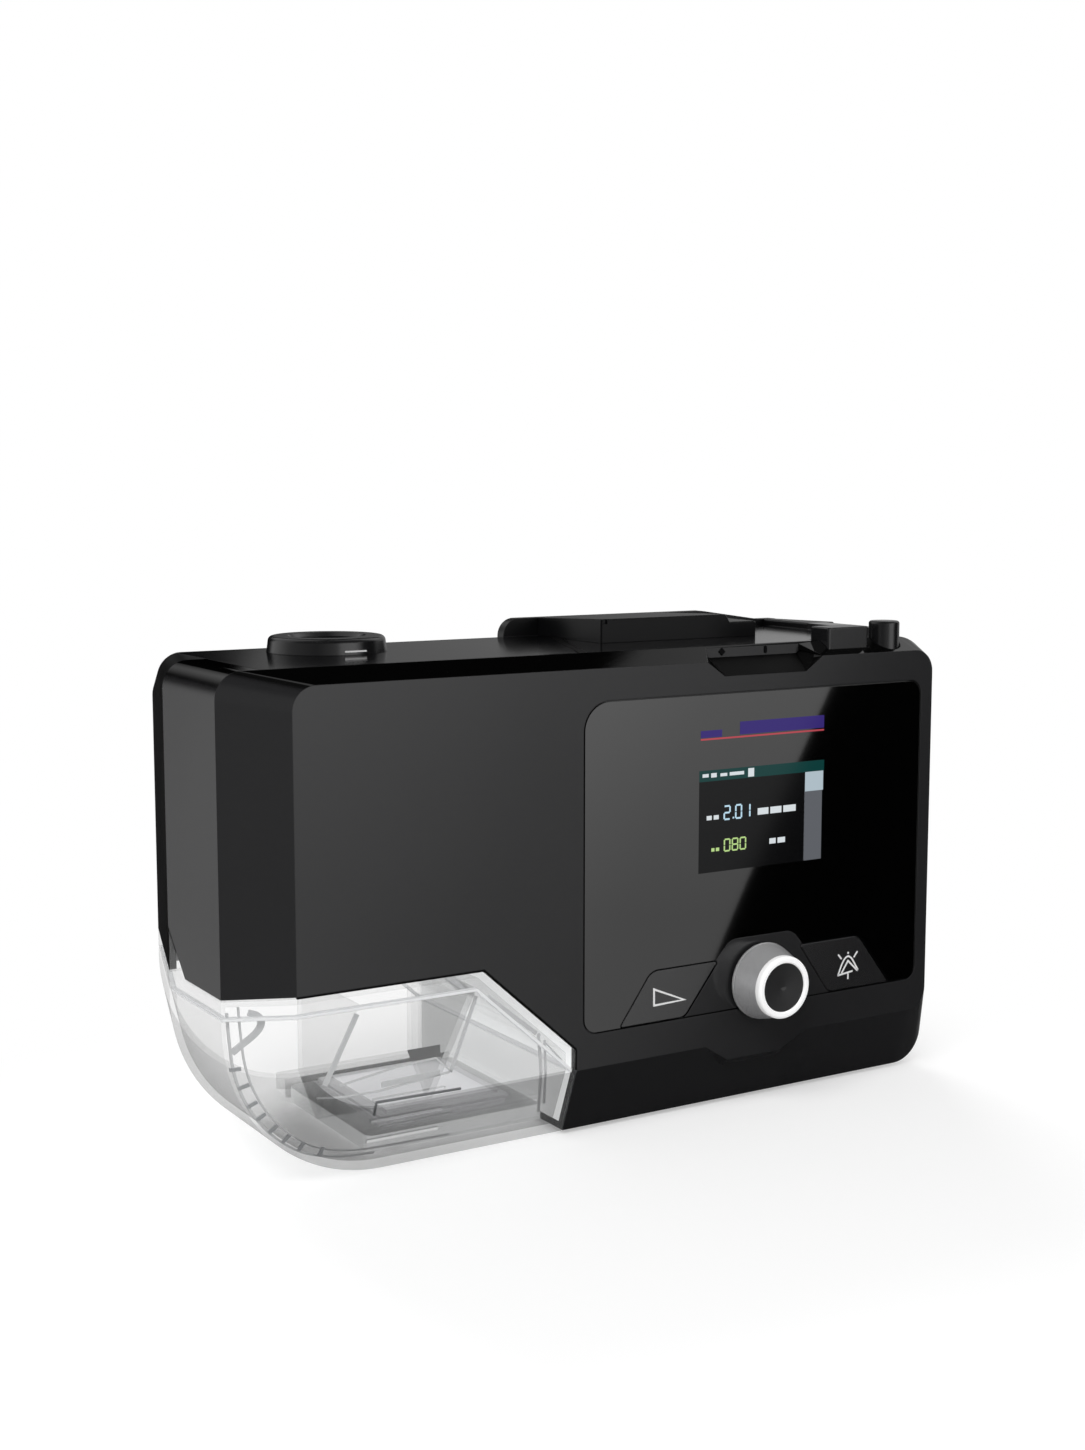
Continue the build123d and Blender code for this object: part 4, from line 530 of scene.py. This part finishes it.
# points of the ring's section: how far out from the knob's side, and how far forward of its foot
RING_SECTION = ((-0.3, 0.15), (0.06, 0.15), (0.12, 0.4), (0.12, 0.75), (0.06, 1.0), (-0.3, 1.0))
foot_ring = bmesh.new()
section = [
    foot_ring.verts.new((KNOB_X + KNOB_RADIUS + out, KNOB_HIGH.y - along, KNOB_Z))
    for out, along in RING_SECTION
]
edges = [foot_ring.edges.new((section[index - 1], section[index])) for index in range(len(section))]
bmesh.ops.spin(
    foot_ring, geom=section + edges, cent=(KNOB_X, 0, KNOB_Z), axis=(0, 1, 0),
    angle=math.tau, steps=RING_STEPS, use_merge=True,
)
bmesh.ops.remove_doubles(foot_ring, verts=foot_ring.verts, dist=MERGE / MM)
finish("knob_foot_ring", foot_ring, foot_highlight_chrome, "knob")

# ---- ribs, clip and rim lines inside the clear tank's front
WALL = 2.2  # thickness of the tank's wall
BEND = (-84.0, 51.3)  # middle of the rounded lower left corner of the tank's front
BEVEL_START = 28.0  # distance from there at which the bevel begins
BEVEL_WIDE, BEVEL_BACK = 19.8, 8.4  # the bevel runs back by the second over the first


def lean(mesh):
    """Moves each point of a flat mesh back onto the inside of the tank's bevelled front."""
    for vertex in mesh.verts:
        across = min(0.0, vertex.co.x - BEND[0])
        down = min(0.0, vertex.co.z - BEND[1])
        outward = math.hypot(across, down) - BEVEL_START
        vertex.co.y += BEVEL_BACK * max(0.0, outward / BEVEL_WIDE)


def tank_lines(name, strokes, material, depth=0.35, thick=0.6):
    """Thin ribs on the inside of the tank's front, each given as (width, path)."""
    mesh = bmesh.new()
    for width, path in strokes:
        bar(mesh, path, width, FRONT + WALL + depth, thick)
    lean(mesh)
    return finish(name, mesh, material, "tank")


RAIL = [
    (-130.0, 55.5), (-129.6, 47.7), (-128.4, 37.6), (-125.2, 28.6), (-120.4, 20.9), (-114.0, 14.3),
    (-106.0, 9.0), (-95.1, 6.4), (-84.0, 6.0),
]
SECOND_RAIL = [(x + 3.0, z + 1.6) for x, z in RAIL]
tank_lines("tank_rail", [(0.7, rounded(RAIL)), (0.5, rounded(SECOND_RAIL))], rib_san)
DASHES = [
    ((-129.4, 38.6), (-126.4, 38.8)), ((-127.0, 32.6), (-124.0, 33.8)), ((-124.2, 26.6), (-121.6, 28.2)),
    ((-121.4, 22.3), (-119.0, 24.2)), ((-117.6, 17.8), (-115.4, 20.0)), ((-113.4, 14.0), (-111.6, 16.4)),
    ((-108.4, 10.8), (-107.0, 13.4)), ((-101.8, 8.2), (-101.0, 11.0)),
]
tank_lines("tank_rail_dashes", [(1.1, dash) for dash in DASHES], slot_painted_light, 0.2, 0.5)
CLIP = [(-124.4, 55.4), (-121.6, 54.6), (-120.8, 52.0), (-122.6, 49.0), (-126.2, 46.0), (-128.8, 43.6)]
tank_lines("tank_clip", [(1.8, rounded(CLIP))], rib_san)
tank_lines(
    "tank_bars",
    [(1.5, [(-92.6, 51.6), (-103.2, 31.8)]), (1.0, [(-52.6, 51.4), (-61.6, 29.2)])],
    rib_san,
)
tank_lines(
    "tank_ledge",
    [
        (0.5, [(-105.0, 27.9), (-98.0, 27.4), (-86.0, 27.2), (-62.0, 29.2)]),
        (1.6, [(-84.8, 29.0), (-65.3, 29.6)]),
        (0.5, [(-98.4, 31.0), (-80.0, 33.6), (-66.6, 34.3), (-61.2, 29.1)]),
    ],
    rib_san,
)
tank_lines(
    "tank_level_lines",
    [(0.7, [(-86.8, 23.9), (-58.1, 23.4)]), (0.6, [(-86.6, 23.9), (-86.6, 19.4)])],
    slot_painted_shade,
)
tank_lines(
    "tank_level_ribs",
    [(0.6, [(-84.2, 15.2), (-60.2, 15.6)]), (0.6, [(-81.6, 7.6), (-58.8, 7.2)])],
    rib_san,
)
tank_lines(
    "tank_right_ribs",
    [
        (1.3, [(-48.6, 50.6), (-31.4, 36.6)]),
        (0.8, [(-30.5, 36.4), (-29.6, 24.0), (-26.9, 9.0)]),
        (0.6, [(-28.3, 34.0), (-27.9, 24.0), (-25.6, 12.0)]),
        (0.4, [(-27.9, 33.0), (-22.0, 26.6)]),
    ],
    rib_san,
)

# ---- painted shadow in the gap between the shell's lower edge and the tank's lid
GAP = [(-112.6, 59.7), (-51.45, 59.7), (-18.5, 30.15), (-18.5, 23.4)]
GAP_WIDE, GAP_DEEP, GAP_SUNK = 0.58, 1.0, 0.02
gap = bmesh.new()
bar(gap, GAP, GAP_WIDE, FRONT + GAP_SUNK, GAP_DEEP)
finish("lid_gap_shadow", gap, painted_shade_abs, "root")

# ---- pale mark on the front of the outlet collar, let into its round side
COLLAR_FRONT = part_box("outlet_collar")[0].y / MM
MARK_PROUD, MARK_DEEP = 0.06, 0.4
mark = bmesh.new()
plate(mark, rectangle(-78.2, 154.4, -71.0, 154.9), COLLAR_FRONT - MARK_PROUD, MARK_DEEP)
finish("collar_mark", mark, white_ink, "root")

# ---- lining of painted shade over the finger notch, and pale lining with a painted glow over the rear cover's edge beside the tank
NOTCH = (34.0, -45.66, 145.0), (76.0, -38.0, 153.42)
EDGE = (-19.5, 40.0, 1.0), (-16.5, 60.0, 40.0)
SKIN = 0.8  # share of its stand-off that a lining is thick


def lies_in(face, corners):
    """True where a face's middle lies between two corners, in millimetres."""
    middle = face.calc_center_median() / MM
    return all(low < value < high for low, value, high in zip(corners[0], middle, corners[1]))


def in_notch(face):
    """True for the notch's floor and ends, false for its back wall and all around it."""
    return lies_in(face, NOTCH) and (face.normal.z > 0.3 or abs(face.normal.x) > 0.35)


def on_edge(face):
    """True for the rear cover's cut edge beside the tank."""
    return lies_in(face, EDGE) and face.normal.x < -0.7


def lining(name, carrier, wanted, material):
    """Thin skin over some faces of a piece."""
    mesh = bmesh.new()
    mesh.from_mesh(bpy.data.objects[carrier].data)
    bmesh.ops.remove_doubles(mesh, verts=mesh.verts, dist=MERGE)
    bmesh.ops.delete(mesh, geom=[face for face in mesh.faces if not wanted(face)], context="FACES")
    mesh.normal_update()
    for vertex in mesh.verts:
        vertex.co = vertex.co / MM + vertex.normal * INK
    under = bmesh.ops.extrude_face_region(mesh, geom=list(mesh.faces))["geom"]
    for vertex in [part for part in under if isinstance(part, bmesh.types.BMVert)]:
        vertex.co -= vertex.normal * INK * SKIN
    return finish(name, mesh, material, "root")


lining("notch_lining", "front_shell", in_notch, painted_shade_abs)
lining("bay_edge_lining", "rear_cover", on_edge, liner_pp)

# ---- dark strip in the joint of the two top plates
PLATE_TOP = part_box("top_plate_left")[1].z / MM
JOINT = [(-11.1, -38.0), (19.0, 31.0)]
JOINT_HALF = 1.5
strip = bmesh.new()
corners = [(x + side * JOINT_HALF, y) for side in (-1, 1) for x, y in JOINT[::side]]
base = strip.faces.new([strip.verts.new((x, y, PLATE_TOP + INK)) for x, y in corners])
walls_up = bmesh.ops.extrude_face_region(strip, geom=[base])["geom"]
lower = [part for part in walls_up if isinstance(part, bmesh.types.BMVert)]
bmesh.ops.translate(strip, vec=(0, 0, -INK), verts=lower)
finish("plate_joint_strip", strip, painted_shade_abs, "root")

# ------------------------------------------------------------------ floor, light, room and camera
def paper(name, colour, lift, near, far, middle):
    """Matt paper that keeps shadows; the camera sees it turn into pure white light away from the machine.

    lift is how much white light is seen on top of it between near and far, in metres from its middle.
    """
    material, tree, output = blank(name)
    path = add(tree, "ShaderNodeLightPath").outputs
    links = {0: path["Is Camera Ray"], 1: path["Is Transmission Ray"]}
    clearly = add(tree, "ShaderNodeMath", {"operation": "MAXIMUM"}, links)
    where = add(tree, "ShaderNodeTexCoord").outputs["Object"]
    offset = add(tree, "ShaderNodeVectorMath", {"operation": "SUBTRACT", 1: middle}, {0: where})
    distance = add(tree, "ShaderNodeVectorMath", {"operation": "LENGTH"}, {0: offset.outputs[0]})
    ramp = {"interpolation_type": "SMOOTHSTEP", "From Min": near, "From Max": far}
    away = add(tree, "ShaderNodeMapRange", ramp, {"Value": distance.outputs["Value"]})
    diffuse = add(tree, "ShaderNodeBsdfDiffuse", {"Color": linear(colour)}).outputs[0]
    light = add(tree, "ShaderNodeEmission", {"Color": WHITE, "Strength": lift})
    lifted = add(tree, "ShaderNodeAddShader", None, {0: diffuse, 1: light.outputs[0]})
    bright = add(tree, "ShaderNodeEmission", {"Color": WHITE, "Strength": 1.0})
    links = {0: away.outputs["Result"], 1: lifted.outputs[0], 2: bright.outputs[0]}
    ground = add(tree, "ShaderNodeMixShader", None, links)
    links = {0: clearly.outputs[0], 1: diffuse, 2: ground.outputs[0]}
    choice = add(tree, "ShaderNodeMixShader", None, links)
    tree.links.new(choice.outputs[0], output.inputs[0])
    return material


def softbox(name, at, aim, size, power):
    """Rectangular soft light that looks at a point, and that no surface mirrors."""
    lamp = bpy.data.lights.new(name, "AREA")
    lamp.shape = "RECTANGLE"
    lamp.size, lamp.size_y = size
    lamp.energy = power
    body = bpy.data.objects.new(name, lamp)
    bpy.context.scene.collection.objects.link(body)
    body.location = at
    body.rotation_euler = (Vector(aim) - Vector(at)).to_track_quat("-Z", "Y").to_euler()
    body.visible_glossy = False
    body.visible_camera = False


FLOOR_REACH = 6.0
ground = bmesh.new()
bmesh.ops.create_grid(ground, x_segments=1, y_segments=1, size=FLOOR_REACH)
sheet = bpy.data.meshes.new("floor")
ground.to_mesh(sheet)
ground.free()
sheet.materials.append(paper("white_paper", "#d9d9d9", 0.41, 0.14, 0.28, (-0.03, -0.12, 0.0)))
floor = bpy.data.objects.new("floor", sheet)
floor.visible_glossy = False
bpy.context.scene.collection.objects.link(floor)

world = bpy.data.worlds.new("studio")
world.use_nodes = True
bpy.context.scene.world = world
tree = world.node_tree
tree.nodes.clear()
path = add(tree, "ShaderNodeLightPath").outputs
links = {0: path["Is Camera Ray"], 1: path["Is Transmission Ray"]}
direct = add(tree, "ShaderNodeMath", {"operation": "MAXIMUM"}, links)

# reflections see bright and dark walls: azimuth 0 lies behind the machine and grows to its right
looks_to = add(tree, "ShaderNodeTexCoord").outputs["Generated"]
sides = add(tree, "ShaderNodeSeparateXYZ", None, {0: looks_to}).outputs
around = add(tree, "ShaderNodeMath", {"operation": "ARCTAN2"}, {0: sides["X"], 1: sides["Y"]}).outputs[0]
# the edge of the bright wall in front leans, so its azimuth shifts with height
LEAN, LEAN_FROM = math.radians(24.0), -0.101
links = {0: sides["Z"], 2: around}
leaned = add(tree, "ShaderNodeMath", {"operation": "MULTIPLY_ADD", 1: LEAN}, links).outputs[0]


def reflected(azimuth, stops, bands, shift=0.0):
    """Grey level by azimuth in degrees, read off stops, and dark outside the bands, whose edges are sharp."""
    full_turn = {"From Min": -math.pi + shift, "From Max": math.pi + shift}
    turn = add(tree, "ShaderNodeMapRange", full_turn, {"Value": azimuth}).outputs["Result"]
    ramp = add(tree, "ShaderNodeValToRGB", None, {"Fac": turn})
    levels = ramp.color_ramp.elements
    while len(levels) < len(stops):
        levels.new(0.5)
    for element, (stop, level) in zip(levels, stops):
        # a ramp holds no more than 1, so it holds half of each level
        element.position = (stop + 180) / 360
        element.color = (level / 2, level / 2, level / 2, 1.0)
    doubled = add(tree, "ShaderNodeMath", {"operation": "MULTIPLY", 1: 2.0}, {0: ramp.outputs[0]}).outputs[0]
    inside = None
    for band in bands:
        start, end = [
            add(tree, "ShaderNodeMath", {"operation": "GREATER_THAN", 1: place}, {0: turn}).outputs[0]
            for place in [(edge + 180) / 360 for edge in band]
        ]
        opened = add(tree, "ShaderNodeMath", {"operation": "SUBTRACT"}, {0: start, 1: end}).outputs[0]
        if inside:
            opened = add(tree, "ShaderNodeMath", {"operation": "ADD"}, {0: inside, 1: opened}).outputs[0]
        inside = opened
    return add(tree, "ShaderNodeMath", {"operation": "MULTIPLY"}, {0: doubled, 1: inside}).outputs[0]


NO_END = 181  # past the last azimuth, so the band has no far edge
WALLS = (
    (-180, 0.7), (-168, 0.5), (-130, 0.15), (-75, 0.4), (-48, 0.85), (-24, 0.85), (-14, 0.0), (26, 0.11),
    (36, 0.17), (40, 0.3), (46, 0.45), (60, 0.3), (139, 0.85), (143, 0.9), (146, 1.08), (148.5, 1.12),
    (151, 1.6), (156, 1.95), (166, 1.7),
)
CEILING = (
    (-180, 0.0), (-90, 0.1), (-60, 0.7), (0, 0.7), (20, 0.0), (52, 0.3), (57, 0.42), (60, 0.8), (75, 1.2),
    (110, 0.1),
)
walls = reflected(leaned, WALLS, ((-180, -10), (27.1, 100), (140.0, NO_END)), LEAN * LEAN_FROM)
ceiling = reflected(around, CEILING, ((-180, 10), (53.4, NO_END)))
# walls fade towards the floor, and the floor in front is nearly dark
fade, sunk, above = [
    add(tree, "ShaderNodeMapRange", settings, {"Value": sides["Z"]}).outputs["Result"]
    for settings in (
        {"From Min": -0.22, "From Max": -0.02, "To Min": 0.66, "To Max": 1.06},
        {"interpolation_type": "SMOOTHSTEP", "From Min": -0.5, "From Max": -0.3, "To Min": 0.12},
        {"interpolation_type": "SMOOTHSTEP", "From Min": 0.25, "From Max": 0.5},
    )
]
dimmed = add(tree, "ShaderNodeMath", {"operation": "MULTIPLY"}, {0: fade, 1: sunk})
low_walls = add(tree, "ShaderNodeMath", {"operation": "MULTIPLY"}, {0: walls, 1: dimmed.outputs[0]})
links = {"Factor": above, "A": low_walls.outputs[0], "B": ceiling}
room = add(tree, "ShaderNodeMix", {"data_type": "FLOAT"}, links)
# matt surfaces get one even level, and only reflections see the room
EVEN = 0.35
links = {"Factor": path["Is Glossy Ray"], "B": room.outputs[0]}
mirrored = add(tree, "ShaderNodeMix", {"data_type": "FLOAT", "A": EVEN}, links)
links = {0: direct.outputs[0], 1: mirrored.outputs[0]}
strength = add(tree, "ShaderNodeMath", {"operation": "MAXIMUM"}, links)
back = add(tree, "ShaderNodeBackground", {"Color": WHITE}, {"Strength": strength.outputs[0]})
add(tree, "ShaderNodeOutputWorld", None, {0: back.outputs[0]})

softbox("key", (-0.9, -0.7, 1.3), (0, 0, 0.07), (0.9, 0.9), 16.0)
softbox("fill", (0.9, -1.1, 0.6), (0, 0, 0.07), (0.8, 0.8), 4.0)
softbox("rear", (0.2, 1.2, 1.0), (0, 0, 0.1), (1.2, 0.8), 12.0)

CAMERA_PLACE = (-0.330452, -0.536992, 0.204338)
CAMERA_YAW, CAMERA_PITCH = 0.547726, 0.123150  # radians to the right of +Y, and down
FOCAL_PIXELS, FRAME_PIXELS = 1916.501, 1450  # focal length and frame height, both in pixels
lens = bpy.data.cameras.new("camera")
lens.sensor_fit = "VERTICAL"
lens.sensor_height = 36.0
lens.lens = FOCAL_PIXELS * lens.sensor_height / FRAME_PIXELS
lens.clip_start = 0.02
camera = bpy.data.objects.new("camera", lens)
bpy.context.scene.collection.objects.link(camera)
camera.location = CAMERA_PLACE
camera.rotation_euler = (math.pi / 2 - CAMERA_PITCH, 0.0, -CAMERA_YAW)
bpy.context.scene.camera = camera
bpy.context.scene.view_settings.view_transform = "Standard"
